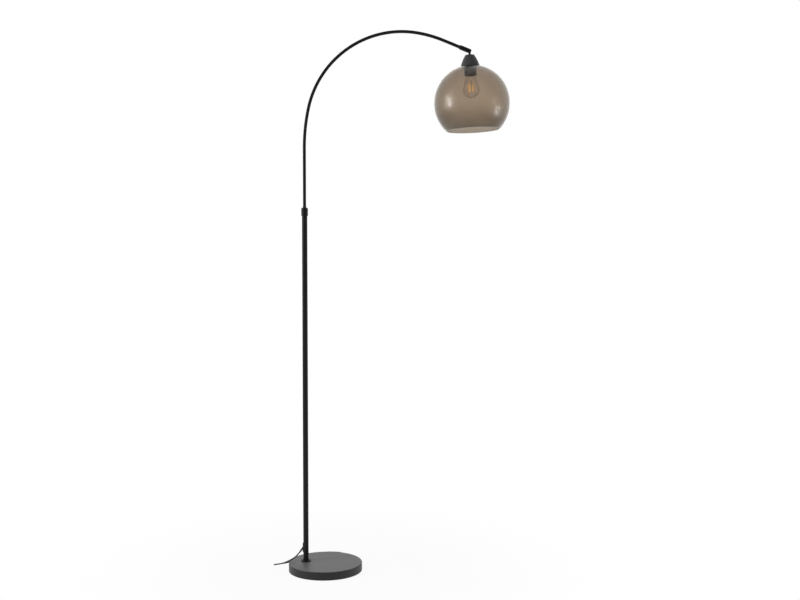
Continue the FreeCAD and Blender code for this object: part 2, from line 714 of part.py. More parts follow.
def arm_lead():
    body = new_body("arm_lead")
    sweep_arch(body, ("lead_radius",), "arm_bend_start - arm_bottom",
               "arm_end_run + fork_reach - slot_back - 0.5")


def arm_guide():
    """Nylon sleeve on the lower end of the arm: it guides the arm and stops it at the top."""
    body = new_body("arm_guide")
    outer = POLE_BORE + " - guide_gap"
    turn(body, [("lead_radius + 0.6", "-guide_lip"), (outer, "-guide_lip"),
                (outer, "guide_length - guide_lip"), ("arm_radius", "guide_length - guide_lip"),
                ("arm_radius", "0"), ("lead_radius + 0.6", "0")])
    stand_at(body, "-pole_offset", "0", "arm_bottom")


def arm_fork():
    """Turned ferrule at the arm's tip, slotted for the stem's tongue.

    Drawn with its axis along Z and the pivot at the origin, then turned along the arm.
    """
    body = new_body("arm_fork")
    start = "-fork_reach"
    turn(body, [("fork_bore", start + " - fork_spigot"),
                (ARM_BORE + " - slip_gap", start + " - fork_spigot"),
                (ARM_BORE + " - slip_gap", start), ("arm_radius", start),
                ("fork_radius", start + " + fork_cone"), ("fork_radius", "fork_nose - 2"),
                ("fork_radius - 2", "fork_nose"), ("0", "fork_nose"), ("0", "-slot_back - 1"),
                ("fork_bore", "-slot_back - 1")])
    sketch = new_sketch(body, "YZ_Plane", "slot")
    half = "slot_width / 2"
    draw_outline(sketch, [("-" + half, "-slot_back - 1.5"), (half, "-slot_back - 1.5"),
                          (half, "fork_nose + 1"), ("-" + half, "fork_nose + 1")])
    pocket(body, sketch, "4 * fork_radius", both_ways=True)
    sketch = new_sketch(body, "XZ_Plane", "pivot_hole")
    draw_circle(sketch, "pivot_radius + 0.05")
    pocket(body, sketch, "4 * fork_radius", both_ways=True)
    for sign, name in (("", "near"), ("-", "far")):
        recess = new_sketch(body, "XZ_Plane", "recess_" + name)
        draw_circle(recess, "pivot_head_radius + 0.4")
        recess.AttachmentOffset = Placement(Vector(0, 0, 0), Rotation())
        recess.setExpression("AttachmentOffset.Base.z",
                             bound(sign + "(fork_radius - pivot_recess)"))
        doc.recompute()
        pocket(body, recess, "2 * pivot_recess", reverse=(sign == ""))
    place_on_arm_axis(body)


def place_on_arm_axis(obj):
    """Put a part drawn about the pivot, with Z along the arm's last heading, in place."""
    stand_at(obj, PIVOT_X, "0", PIVOT_Z)
    obj.Placement.Rotation = Rotation(Vector(0, 1, 0), size(TURN_ALL))
    obj.setExpression("Placement.Rotation.Angle", bound(TURN_ALL))


def pivot_fasteners():
    """Pivot screw from the front, its cap nut at the back and two friction washers."""
    floor = "(fork_radius - pivot_recess)"
    screw = new_body("pivot_screw")
    turn(screw, [("0", "-" + floor), ("pivot_radius", "-" + floor),
                 ("pivot_radius", floor + " + 0.6"), ("0", floor + " + 0.6")])
    turn(screw, [("0", floor), ("pivot_head_radius", floor),
                 ("pivot_head_radius", floor + " + pivot_head - 0.6"),
                 ("pivot_head_radius - 0.9", floor + " + pivot_head"),
                 ("0", floor + " + pivot_head")], name="head")
    sketch = new_sketch(screw, "XY_Plane", "socket")
    sketch.setExpression("AttachmentOffset.Base.z", bound(floor + " + pivot_head - 1"))
    hexagon(sketch, "pivot_head_radius * 0.8")
    pocket(screw, sketch, "2", reverse=True)
    lay_on_pivot_axis(screw)

    nut = new_body("pivot_nut")
    turn(nut, [("pivot_radius", floor), ("pivot_head_radius", floor),
               ("pivot_head_radius", floor + " + pivot_head - 0.6"),
               ("pivot_head_radius - 0.9", floor + " + pivot_head"),
               ("pivot_radius", floor + " + pivot_head")])
    lay_on_pivot_axis(nut, far=True)

    inner, outer = "(tongue_thickness / 2 + washer_gap)", "(slot_width / 2)"
    for name, far in (("pivot_washer_front", False), ("pivot_washer_back", True)):
        washer = new_body(name)
        turn(washer, tube_profile("pivot_radius + 0.05", "friction_radius", inner, outer))
        lay_on_pivot_axis(washer, far)


def lay_on_pivot_axis(obj, far=False):
    """Turn a part drawn along Z so that Z points to the front (-Y), or to the back."""
    stand_at(obj, PIVOT_X, "0", PIVOT_Z)
    obj.Placement.Rotation = Rotation(Vector(1, 0, 0), -90 if far else 90)


# ---------------------------------------------------------------------------------------
# Shade, drawn in its own frame: origin at the pivot, Z along the shade's axis
# ---------------------------------------------------------------------------------------
def shade_stem():
    """Flat tongue in the fork, a shoulder on the cup and a hollow threaded end."""
    body = new_body("shade_stem")
    shoulder, low = "-stem_shoulder", "-%s" % CUP_TOP
    end = low + " - stem_thread"
    turn(body, [("0", shoulder), ("0", end), ("stud_radius - 0.05", end),
                ("stud_radius - 0.05", low), ("stem_shoulder_radius", low),
                ("stem_shoulder_radius", shoulder)])
    sketch = new_sketch(body, "XZ_Plane", "tongue")
    half = "tongue_width / 2"
    draw_outline(sketch, [("-" + half, shoulder + " - 0.5"), (half, shoulder + " - 0.5"),
                          (half, "0"), ("0", half, half, 1), ("-" + half, "0", half, 1)])
    pad(body, sketch, "tongue_thickness", both_ways=True)
    sketch = new_sketch(body, "XZ_Plane", "eye")
    draw_circle(sketch, "pivot_radius + 0.05")
    pocket(body, sketch, "2 * tongue_thickness", both_ways=True)
    turn(body, tube_profile("0", "stem_hole", end + " - 1", "-5"), cut=True, name="hole")
    sketch = new_sketch(body, "XZ_Plane", "lead_notch")
    draw_outline(sketch, [("-" + half + " - 1", "-9"), ("0", "-9"), ("0", "-5"),
                          ("-" + half + " - 1", "-5")])
    pocket(body, sketch, "1.6 * stem_hole", both_ways=True)
    turn(body, tube_profile("0", "stud_bore", end + " - 1", low + " - 3"), cut=True,
         name="bore")
    hang_on_pivot(body)


def holder_cup():
    """Spun conical cup between the knuckle and the globe."""
    body = new_body("holder_cup")
    top, low = "-%s" % CUP_TOP, "-%s" % CUP_BOTTOM
    under = top + " - cup_wall"
    turn(body, [("stud_radius + stud_gap", top), ("cup_top_radius", top),
                ("cup_radius", low, "cup_flank_radius", -1), ("cup_radius - cup_wall", low),
                ("cup_top_radius - cup_wall", under, "cup_flank_radius", 1),
                ("stud_radius + stud_gap", under)])
    round_edges(body, "cup_shoulder",
                lambda e: is_ring(e, size("cup_top_radius"), size(top)))
    hang_on_pivot(body)


def stem_nut():
    body = new_body("stem_nut")
    top = "-%s - cup_wall" % CUP_TOP
    sketch = new_sketch(body, "XY_Plane", "flats")
    hexagon(sketch, "nut_flats")
    draw_circle(sketch, "stud_radius")
    sketch.setExpression("AttachmentOffset.Base.z", bound(top + " - stem_nut_height"))
    pad(body, sketch, "stem_nut_height")
    hang_on_pivot(body)


def lampholder():
    """Insulating lampholder: cap, flange on the glass and threaded skirt."""
    body = new_body("lampholder")
    top = "-%s - cup_wall - stem_nut_height - 0.3" % CUP_TOP
    flange, flange_top = "-%s" % FLANGE_BOTTOM, "-%s + holder_flange" % FLANGE_BOTTOM
    bore = "holder_radius - holder_wall"
    turn(body, [("stud_radius", top), ("stud_radius + 3", top), ("stud_radius + 3", top + " - 3"),
                ("holder_cap_radius - 2", top + " - 8"), ("holder_cap_radius", top + " - 11"),
                ("holder_cap_radius", flange_top), ("holder_flange_radius", flange_top),
                ("holder_flange_radius", flange), ("holder_radius", flange),
                ("holder_radius", "-holder_end + 1"), ("holder_radius - 1", "-holder_end"),
                (bore, "-holder_end"), (bore, "-holder_floor"), ("9", "-holder_floor"),
                ("9", top + " - 11"), ("stud_radius", top + " - 11")])
    hang_on_pivot(body)


def lampholder_inside():
    """Insulating core, brass screw shell and spring contact."""
    core = new_body("holder_core")
    low = "-holder_floor - core_height"
    turn(core, [("0", "-holder_floor"), ("0", low), ("holder_radius - holder_wall - 0.1", low),
                ("holder_radius - holder_wall - 0.1", "-holder_floor")])
    hang_on_pivot(core)

    shell = new_body("screw_shell")
    turn(shell, tube_profile("shell_bore", "shell_bore + shell_wall",
                             low + " - shell_length", low))
    hang_on_pivot(shell)

    contact = new_body("centre_contact")
    turn(contact, [("0", low), ("0", "-bulb_top + 0.1"), ("2.4", "-bulb_top + 0.1"),
                   ("4", low)])
    hang_on_pivot(contact)


def shade_ring():
    """Threaded ring under the glass, with grip notches around its edge."""
    body = new_body("shade_ring")
    top = "-%s" % RING_TOP
    turn(body, tube_profile("holder_radius + 0.1", "ring_radius", top + " - ring_height", top))
    sketch = new_sketch(body, "XY_Plane", "notch")
    draw_circle(sketch, "1.6", "ring_radius + 0.6")
    sketch.setExpression("AttachmentOffset.Base.z", bound(top))
    notch = pocket(body, sketch, "ring_height - 1.5")
    pattern = body.newObject("PartDesign::PolarPattern", "shade_ring_notches")
    pattern.Originals = [notch]
    pattern.Axis = (sketch, ["N_Axis"])
    pattern.Angle = 360
    pattern.Occurrences = 12
    body.Tip = pattern
    doc.recompute()
    hang_on_pivot(body)


def shade_globe():
    """Open smoked globe: a hollow ball cut off below, with a hole at its top."""
    body = new_body("shade_globe")
    mouth = "-" + MOUTH_DROP
    mouth_inner = "sqrt(%s ^ 2 - (globe_radius ^ 2 - mouth_radius ^ 2))" % GLOBE_INNER
    turn(body, [("hole_radius", "-" + globe_drop_at("hole_radius")),
                ("mouth_radius", mouth, "globe_radius", -1), (mouth_inner, mouth),
                ("hole_radius", "-" + globe_drop_at("hole_radius", GLOBE_INNER),
                 GLOBE_INNER, 1)])
    hang_on_pivot(body)


def bulb():
    """Clear filament bulb: screw cap, glass envelope, glass stem and light sticks."""
    cap = new_body("bulb_cap")
    cap_low = "-bulb_top - bulb_cap_length"
    turn(cap, [("0", "-bulb_top"), ("3", "-bulb_top"), ("4.5", "-bulb_top - 1"),
               ("9", "-bulb_top - 3"), ("bulb_cap_radius - 0.6", "-bulb_top - 5"),
               ("bulb_cap_radius", "-bulb_top - 6"), ("bulb_cap_radius", cap_low),
               ("bulb_neck + 0.1", cap_low), ("bulb_neck + 0.1", "-bulb_top - 6"),
               ("0", "-bulb_top - 6")])
    hang_on_pivot(cap)

    glass = new_body("bulb_envelope")
    neck_top = "-bulb_top - 9"
    shoulder = "-%s + bulb_shoulder" % BULB_CENTRE
    inner = "(bulb_radius - bulb_wall)"
    collar = cap_low + " - 0.3"
    turn(glass, [("bulb_neck - bulb_wall", neck_top), ("bulb_neck", neck_top),
                 ("bulb_neck", collar), ("bulb_throat", "-bulb_throat_drop"),
                 ("sqrt(bulb_radius ^ 2 - bulb_shoulder ^ 2)", shoulder,
                  "bulb_flank_radius", -1),
                 ("0", "-bulb_tip", "bulb_radius", -1), ("0", "-bulb_tip + bulb_wall"),
                 ("sqrt(%s ^ 2 - bulb_shoulder ^ 2)" % inner, shoulder, inner, 1),
                 ("bulb_throat - bulb_wall", "-bulb_throat_drop", "bulb_flank_radius", 1),
                 ("bulb_neck - bulb_wall", collar)])
    hang_on_pivot(glass)

    stem = new_body("bulb_stem")
    stem_low = "-filament_drop + 9"
    turn(stem, [("0", neck_top + " - 1"), ("bulb_neck - bulb_wall - 0.2", neck_top + " - 1"),
                ("bulb_neck - bulb_wall - 0.5", neck_top + " - 3"), ("4", neck_top + " - 12"),
                ("3.4", stem_low + " + 4"), ("1.6", stem_low), ("0", stem_low)])
    hang_on_pivot(stem)


def bulb_filaments():
    """Four light sticks around a centre wire, drawn in the frame of the shade."""
    top, spread = size("-filament_drop"), size("filament_spread")
    stick, wire = size("filament_radius"), 0.4
    low = top - size("filament_length")
    stem_low = top + 9
    hub = Vector(0, 0, low - 1)
    shapes = [Part.makeCylinder(wire, stem_low - hub.z, hub)]
    for quarter in range(4):
        turned = math.radians(90 * quarter + 45)
        out = Vector(math.cos(turned), math.sin(turned), 0)
        upper = out * spread + Vector(0, 0, top)
        lower = out * (spread * 0.4) + Vector(0, 0, low)
        shapes.append(rod(upper, lower, stick))
        shapes.append(rod(upper, Vector(0, 0, stem_low - 1), wire))
        shapes.append(rod(lower, hub + Vector(0, 0, 0.5), wire))
    solid = shapes[0].multiFuse(shapes[1:])
    feature = doc.addObject("Part::Feature", "bulb_filaments")
    feature.Label = "bulb_filaments"
    feature.Shape = solid
    PARTS.append(feature)
    hang_on_pivot(feature)


def rod(start, end, radius):
    way = end.sub(start)
    return Part.makeCylinder(radius, way.Length, start, way)


# ---------------------------------------------------------------------------------------
# Leads and mains cord
# ---------------------------------------------------------------------------------------
def route_wire(points):
    """Wire of straight runs joined by tangent arcs, as large as the runs allow."""
    spots = [Vector(*p) for p in points]
    edges, radii = [], []
    here = spots[0]
    for i in range(1, len(spots) - 1):
        back, ahead = spots[i - 1].sub(spots[i]), spots[i + 1].sub(spots[i])
        turned = math.pi - back.getAngle(ahead)
        cut = 0.45 * min(back.Length, ahead.Length)
        start = spots[i] + back.normalize() * cut
        end = spots[i] + ahead.normalize() * cut
        radius = cut / math.tan(turned / 2)
        centre_way = (start + end) * 0.5 - spots[i]
        to_centre = math.hypot(cut, radius)
        middle = spots[i] + centre_way.normalize() * (to_centre - radius)
        edges.append(Part.LineSegment(here, start).toShape())
        edges.append(Part.Arc(start, middle, end).toShape())
        radii.append(radius)
        here = end
    edges.append(Part.LineSegment(here, spots[-1]).toShape())
    return Part.Wire(edges), radii


def tube_along(label, wire, radius, radii=()):
    """Solid round tube along a wire, checked against its section times its length."""
    start = wire.Edges[0]
    first = start.FirstParameter
    circle = Part.makeCircle(radius, start.valueAt(first), start.tangentAt(first))
    solid = wire.makePipeShell([Part.Wire(circle)], True, False)
    expected = math.pi * radius ** 2 * wire.Length
    smallest = " smallest bend %.1f" % min(radii) if radii else ""
    print("%s: length %.1f, volume %.4f of section x length,%s"
          % (label, wire.Length, solid.Volume / expected, smallest))
    feature = doc.addObject("Part::Feature", label)
    feature.Label = label
    feature.Shape = solid
    PARTS.append(feature)
    return feature


def pole_lead():
    """Lead from the strain relief up the middle of the pole to the arm."""
    axis, back = -size("pole_offset"), size("cord_exit_height")
    bend = size("lead_bend")
    start = Vector(axis - size("sqrt(%s ^ 2 - lead_radius ^ 2)" % POLE_BORE), 0, back)
    corner = Vector(axis - bend, 0, back)
    up = Vector(axis, 0, back + bend)
    middle = Vector(axis - bend * (1 - math.sin(math.pi / 4)), 0,
                    back + bend * (1 - math.cos(math.pi / 4)))
    top = Vector(axis, 0, size("arm_bottom"))
    wire = Part.Wire([Part.LineSegment(start, corner).toShape(),
                      Part.Arc(corner, middle, up).toShape(),
                      Part.LineSegment(up, top).toShape()])
    tube_along("pole_lead", wire, size("lead_radius"), [bend])


def stem_lead():
    body = new_body("stem_lead")
    turn(body, [("0", "-holder_floor + 0.2"), ("stem_lead_radius", "-holder_floor + 0.2"),
                ("stem_lead_radius", "-6.5"), ("0", "-6.5")])
    hang_on_pivot(body)


def cord_relief():
    """Rubber strain relief: an oblong plate seated in the pole's back, and a tapered spout."""
    axis, middle = -size("pole_offset"), size("cord_exit_height")
    half_width, half_height = size("relief_width / 2"), size("relief_height / 2")
    back = size("pole_radius + relief_proud")

    def oblong(half, tall, near, far):
        """Oblong block across the pole's back, from near to far of its axis."""
        straight = tall - half
        block = Part.makeBox(far - near, 2 * half, 2 * straight,
                             Vector(-far, -half, -straight))
        ends = [Part.makeCylinder(half, far - near, Vector(-far, 0, z), Vector(1, 0, 0))
                for z in (-straight, straight)]
        return block.multiFuse(ends).removeSplitter()

    plate = oblong(half_width, half_height, size("pole_radius - 2"), back)
    edge = size("relief_proud / 2")
    outer = [e for e in plate.Edges if abs(e.BoundBox.XMin + back) < 1e-6
             and abs(e.BoundBox.XMax + back) < 1e-6]
    plate = plate.makeFillet(edge, outer)
    tall = size("relief_height")
    pole = Part.makeCylinder(size("pole_radius + slip_gap"), 2 * tall, Vector(0, 0, -tall))
    bore = Part.makeCylinder(size(POLE_BORE), 2 * tall, Vector(0, 0, -tall))
    neck = oblong(half_width - 1.3, half_height - 1.3, size("pole_radius - 4"), back - 0.5)
    spout = Part.makeCone(size("1.75 * cord_radius"), size("1.15 * cord_radius"),
                          size("relief_length"), Vector(0, 0, 0), spout_way())
    spout.translate(Vector(-size("pole_radius"), 0, 0))
    solid = plate.cut(pole).multiFuse([neck.cut(bore), spout.cut(pole)])
    feature = doc.addObject("Part::Feature", "cord_relief")
    feature.Label = "cord_relief"
    feature.Shape = solid.removeSplitter()
    feature.Placement = Placement(Vector(axis, 0, middle), Rotation())
    PARTS.append(feature)


def spout_way():
    """Direction in which the cord leaves the pole: backwards, down and a little aside."""
    pitch, aside = math.radians(size("relief_pitch")), math.radians(size("relief_turn"))
    return Vector(-math.cos(pitch) * math.cos(aside), math.cos(pitch) * math.sin(aside),
                  -math.sin(pitch))


def spout_end(beyond=0):
    """Middle of the spout's end, or a point on the cord straight beyond it."""
    start = Vector(-size("pole_offset + pole_radius"), 0, size("cord_exit_height"))
    return tuple(start + spout_way() * (size("relief_length") + beyond))


# The cord's route from the strain relief to the switch: it falls past the edge of the base,
# turns back above the floor beside it, and runs on the floor behind the base.
ROUTE_TO_SWITCH = [(-109, -8.5, 43), (-124.5, -13.5, 37.2), (-141.5, -12.5, 26.5),
                   (-159.5, -4.9, 17.6), (-175.5, 2.8, 12.3), (-183.1, 13.4, 8.1),
                   (-184.1, 26.5, 4.6), (-178.4, 38.7, 2.5), (-164, 49.8, 2.5),
                   (-146, 62.2, 2.5), (-135, 83, 3.2)]
SWITCH_PLACE = (-84, 121, 24)         # x, y and heading of the switch
HANK_PLACE = (-4, 162, 0)             # x, y and heading of the hank
PLUG_PLACE = (78, 125, -14)           # x, y and heading of the plug's face


def placed(place, along, across, height):
    """A point given in the frame of a piece that lies at a place on the floor."""
    x, y, heading = place
    turned = math.radians(heading)
    return (x + along * math.cos(turned) - across * math.sin(turned),
            y + along * math.sin(turned) + across * math.cos(turned), height)


def lie_at(obj, place, height, turned=Rotation()):
    obj.Placement = Placement(Vector(place[0], place[1], height),
                              Rotation(Vector(0, 0, 1), place[2]).multiply(turned))


def cord_between(label, points):
    wire, radii = route_wire(points)
    print(label, "bends", " ".join("%.0f" % r for r in radii))
    tube_along(label, wire, size("cord_radius"), radii)


def switch_end(side, beyond=0):
    """Middle of an end of the switch, or a point on the cord straight beyond it."""
    return placed(SWITCH_PLACE, side * (size("switch_length / 2") + beyond), 0,
                  size("floor_gap + switch_split"))


def plug_end(beyond=0):
    return placed(PLUG_PLACE, -size("plug_tail") - beyond, 0,
                  size("floor_gap + plug_height / 2"))


def hank_pitch():
    return size("2 * cord_radius + hank_gap")


def hank_heights():
    low = size("cord_radius + floor_gap + tie_wall + tie_gap")
    return low, low + hank_pitch()


def hank_bends():
    """Radii of the hank's bends, from the inside outwards."""
    return [size("hank_bend") + hank_pitch() / 2 * k for k in range(2 * int(size("hank_turns")))]


def hank_end(side, beyond=0):
    """An end of the hank: it comes in low on one side and goes out high on the other."""
    low, high = hank_heights()
    return placed(HANK_PLACE, side * (size("hank_run / 2") + beyond), -hank_bends()[-1],
                  high if side > 0 else low)


def hank_wire():
    """Two layers of flat turns: half circles of growing radius joined by straight runs.

    The lower layer spirals inwards, the wire climbs along one run, and the upper layer
    spirals out again.
    """
    half_run = size("hank_run / 2")
    low, high = hank_heights()
    bends = hank_bends()
    here = Vector(-half_run, -bends[-1], low)
    edges = []
    side = 1
    steps = [(radius, low) for radius in reversed(bends)]
    steps += [(radius, high) for radius in bends]
    for radius, height in steps:
        end = Vector(side * half_run, here.y, height)
        if here.z < height:
            edges += climb(here, end)
        else:
            edges.append(Part.LineSegment(here, end).toShape())
        # the lower layer bends back towards the middle just as the upper one does
        turned = 1 if end.y < 0 else -1
        middle = Vector(side * (half_run + radius), end.y + turned * radius, height)
        here = Vector(end.x, end.y + turned * 2 * radius, height)
        edges.append(Part.Arc(end, middle, here).toShape())
        side = -side
    edges.append(Part.LineSegment(here, Vector(side * half_run, here.y, here.z)).toShape())
    return Part.Wire(edges)


def climb(start, end):
    """S-shaped rise from one layer to the next, level at both ends."""
    run, rise = end.x - start.x, end.z - start.z
    half = (start + end) * 0.5
    radius = (run ** 2 + rise ** 2) / (4 * rise)
    sweep = math.asin(abs(run) / 2 / radius) / 2
    step_x = math.copysign(radius * math.sin(sweep), run)
    step_z = radius * (1 - math.cos(sweep))
    first = Vector(start.x + step_x, start.y, start.z + step_z)
    second = Vector(end.x - step_x, end.y, end.z - step_z)
    return [Part.Arc(start, first, half).toShape(), Part.Arc(half, second, end).toShape()]


def cord_hank():
    wire = hank_wire()
    lie_at(tube_along("cord_hank", wire, size("cord_radius")), HANK_PLACE, 0)
    step = 2.0
    points = wire.discretize(Distance=step)
    skipped = int(3 * size("2 * cord_radius") / step)
    least = min(one.distanceToPoint(other)
                for i, one in enumerate(points) for other in points[i + skipped:])
    print("cord_hank least gap to itself %.2f" % (least - size("2 * cord_radius")))


def hank_tie():
    """Flat strap around the middle of the hank."""
    body = new_body("hank_tie")
    reach = "(hank_bend + (2 * cord_radius + hank_gap) * (hank_turns - 0.5) + cord_radius"
    inner = reach + " + tie_gap)"
    outer = reach + " + tie_gap + tie_wall)"
    floor = "(floor_gap + tie_wall)"
    ceiling = "(floor_gap + tie_wall + 2 * tie_gap + 4 * cord_radius + hank_gap)"
    sketch = new_sketch(body, "YZ_Plane", "section")
    for side, low, high in ((outer, "floor_gap", ceiling + " + tie_wall"),
                            (inner, floor, ceiling)):
        draw_outline(sketch, [("-" + side, low), (side, low), (side, high),
                              ("-" + side, high)])
    pad(body, sketch, "tie_width", both_ways=True)
    wide = size(outer)
    round_edges(body, "1.5", lambda e: abs(abs(e.CenterOfMass.y) - wide) < 1e-3
                and e.BoundBox.XLength > 1)
    lie_at(body, HANK_PLACE, 0)


def mains_cord():
    cord_between("cord_to_switch", [spout_end(), spout_end(15)] + ROUTE_TO_SWITCH
                 + [switch_end(-1, 18), switch_end(-1)])
    cord_between("cord_to_hank", [switch_end(1), switch_end(1, 16), hank_end(-1, 9),
                                  hank_end(-1)])
    cord_hank()
    hank_tie()
    cord_between("cord_to_plug", [hank_end(1), hank_end(1, 9), plug_end(10), plug_end()])


# ---------------------------------------------------------------------------------------
# Cord switch and plug
# ---------------------------------------------------------------------------------------
def switch_half(label, low, high):
    """One half of the switch: a slab that narrows towards both ends."""
    body = new_body(label)
    sketch = new_sketch(body, "XY_Plane", "outline")
    sketch.setExpression("AttachmentOffset.Base.z", bound(low))
    half, side, nose = "switch_length / 2", "switch_width / 2", "switch_tail / 2"
    draw_outline(sketch, [("-" + half, "-" + nose), ("-%s + 9" % half, "-" + side),
                          (half + " - 9", "-" + side), (half, "-" + nose), (half, nose),
                          (half + " - 9", side), ("-%s + 9" % half, side),
                          ("-" + half, nose)])
    pad(body, sketch, "%s - %s" % (high, low))
    return body


def cord_switch():
    base = switch_half("switch_base", "0", "switch_split")
    round_edges(base, "switch_edge / 2", lambda e: e.BoundBox.ZMax < 1e-6)
    lie_at(base, SWITCH_PLACE, size("floor_gap"))

    cover = switch_half("switch_cover", "switch_split", "switch_height")
    top = size("switch_height")
    round_edges(cover, "switch_edge", lambda e: e.BoundBox.ZMin > top - 1e-6)
    for name, radius, reach in (
            ("rocker_room", "rocker_radius + rocker_gap", "rocker_width + 2 * rocker_gap"),
            ("trunnions", "trunnion_radius + trunnion_gap", "2 * trunnion_reach + 0.6")):
        sketch = new_sketch(cover, "XZ_Plane", name)
        draw_circle(sketch, radius, "0", "rocker_axis")
        pocket(cover, sketch, reach, both_ways=True)
    lie_at(cover, SWITCH_PLACE, size("floor_gap"))

    rocker = new_body("switch_rocker")
    sketch = new_sketch(rocker, "XZ_Plane", "section")
    low = "sqrt(rocker_radius ^ 2 - rocker_foot ^ 2)"
    high = "sqrt(rocker_radius ^ 2 - rocker_top ^ 2)"
    draw_outline(sketch, [(low, "-rocker_foot"), (high, "rocker_top", "rocker_radius", 1),
                          ("0", "rocker_dip"), ("-" + high, "rocker_top"),
                          ("-" + low, "-rocker_foot", "rocker_radius", 1)])
    pad(rocker, sketch, "rocker_width", both_ways=True)
    sketch = new_sketch(rocker, "XZ_Plane", "trunnions")
    draw_circle(sketch, "trunnion_radius")
    pad(rocker, sketch, "2 * trunnion_reach", both_ways=True)
    lie_at(rocker, SWITCH_PLACE, size("floor_gap + rocker_axis"),
           Rotation(Vector(0, 1, 0), size("rocker_tilt")))


def plug():
    """Flat two-pin plug, drawn with its pins along +Z, its face at the origin."""
    body = new_body("plug_body")
    tail, wide = "-plug_tail", "plug_width / 2"
    turn(body, [("0", tail), ("plug_tail_radius", tail), ("5.5", "-plug_body"),
                ("5.5", "-plug_body + 6"), ("0", "-plug_body + 6")])
    sketch = new_sketch(body, "XZ_Plane", "outline")
    draw_outline(sketch, [("-" + wide + " + 2", "0"), ("-" + wide, "-3"),
                          ("-" + wide, "-plug_body + 12"), ("-8", "-plug_body"),
                          ("8", "-plug_body"), (wide, "-plug_body + 12"), (wide, "-3"),
                          (wide + " - 2", "0")])
    pad(body, sketch, "plug_height", both_ways=True)
    deep = size("plug_height / 2")
    round_edges(body, "plug_edge", lambda e: abs(abs(e.CenterOfMass.y) - deep) < 1e-3)
    for name, side in (("near", "-pin_spacing / 2"), ("far", "pin_spacing / 2")):
        sketch = new_sketch(body, "XY_Plane", "pin_hole_" + name)
        draw_circle(sketch, "pin_radius", side)
        pocket(body, sketch, "pin_root")
    across = Rotation(Vector(1, 1, 1), 120)
    height = size("floor_gap + plug_height / 2")
    lie_at(body, PLUG_PLACE, height, across)
    for name, side in (("plug_pin_near", "-pin_spacing / 2"),
                       ("plug_pin_far", "pin_spacing / 2")):
        pin = new_body(name)
        turn(pin, [("0", "-pin_root"), ("pin_radius", "-pin_root"),
                   ("pin_radius", "pin_length - 1"), ("pin_radius - 1", "pin_length"),
                   ("0", "pin_length")])
        spot = placed(PLUG_PLACE, 0, size(side), height)
        lie_at(pin, (spot[0], spot[1], PLUG_PLACE[2]), height, across)


def build():
    felt_pad()
    base_weight()
    base_cover()
    foot_fixing()
    foot_ring()
    foot_plug()
    lower_pole_tube()
    upper_pole_tube()
    pole_joiner()
    pole_head()
    clamp_collar()
    clamp_bush()
    arm_tube()
    arm_guide()
    arm_lead()
    arm_fork()
    pivot_fasteners()
    shade_stem()
    holder_cup()
    stem_nut()
    lampholder()
    lampholder_inside()
    shade_ring()
    shade_globe()
    bulb()
    bulb_filaments()
    pole_lead()
    stem_lead()
    cord_relief()
    mains_cord()
    cord_switch()
    plug()


def check_and_write():
    doc.recompute()
    for obj in doc.Objects:
        if "Invalid" in obj.State or "Error" in obj.State:
            raise ValueError("%s failed: %s" % (obj.Label, obj.State))
    os.makedirs("parts", exist_ok=True)
    for part in PARTS:
        shape = part.Shape
        if shape.isNull() or not shape.isValid():
            raise ValueError(part.Label + " has no valid shape")
        shape.exportStep("parts/%s.step" % part.Label)
    print(len(PARTS), "parts written")


build()
check_and_write()
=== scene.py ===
"""Looks of the globe floor lamp: powder-coated steel, smoked glass, a filament bulb and a cord."""
import json
import math
import bpy
from mathutils import Matrix, Vector


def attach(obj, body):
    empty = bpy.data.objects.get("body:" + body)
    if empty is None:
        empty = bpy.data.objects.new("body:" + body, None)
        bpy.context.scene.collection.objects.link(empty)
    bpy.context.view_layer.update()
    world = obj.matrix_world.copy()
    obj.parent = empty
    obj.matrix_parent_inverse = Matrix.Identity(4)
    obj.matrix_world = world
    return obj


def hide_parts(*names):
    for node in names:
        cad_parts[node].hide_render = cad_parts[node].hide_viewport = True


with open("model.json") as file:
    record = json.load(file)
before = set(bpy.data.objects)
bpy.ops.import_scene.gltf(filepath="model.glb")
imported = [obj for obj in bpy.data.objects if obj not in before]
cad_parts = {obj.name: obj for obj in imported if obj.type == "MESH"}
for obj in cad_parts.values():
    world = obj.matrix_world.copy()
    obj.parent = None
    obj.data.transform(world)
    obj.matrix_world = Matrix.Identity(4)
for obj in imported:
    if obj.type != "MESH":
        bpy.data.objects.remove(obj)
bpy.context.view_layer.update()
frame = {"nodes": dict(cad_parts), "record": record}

MM = 0.001
PIVOT = Vector((0.487367, 0.0, 1.750260))     # knuckle at the end of the arm
LEAN = math.radians(2.8)                      # lean of the shade at rest
GLOBE_Z = 1.579464                            # height of the globe's middle
PAINTED_SHADE_LOW, PAINTED_SHADE_HIGH = GLOBE_Z - 0.092, GLOBE_Z + 0.01   # painted shade darkens the glass towards the mouth and fades out between these heights
PAINTED_LIGHT_LINE = 0.0272                            # painted light makes the base's flat top lighter above this height


# --------------------------------------------------------------------------------------
# Shader maths as Python expressions
# --------------------------------------------------------------------------------------
class Signal:
    """One output of a shader node; sums and products of signals add Math nodes."""

    def __init__(self, finish, socket):
        self.finish = finish
        self.socket = socket

    def maths(self, operation, *values):
        return self.finish.node("ShaderNodeMath", {"operation": operation},
                                dict(enumerate(values)))

    def __add__(self, other):
        return self.maths("ADD", self, other)

    __radd__ = __add__

    def __mul__(self, other):
        return self.maths("MULTIPLY", self, other)

    def __sub__(self, other):
        return self.maths("SUBTRACT", self, other)

    def clamped(self):
        return self.maths("MAXIMUM", self.maths("MINIMUM", self, 1.0), 0.0)


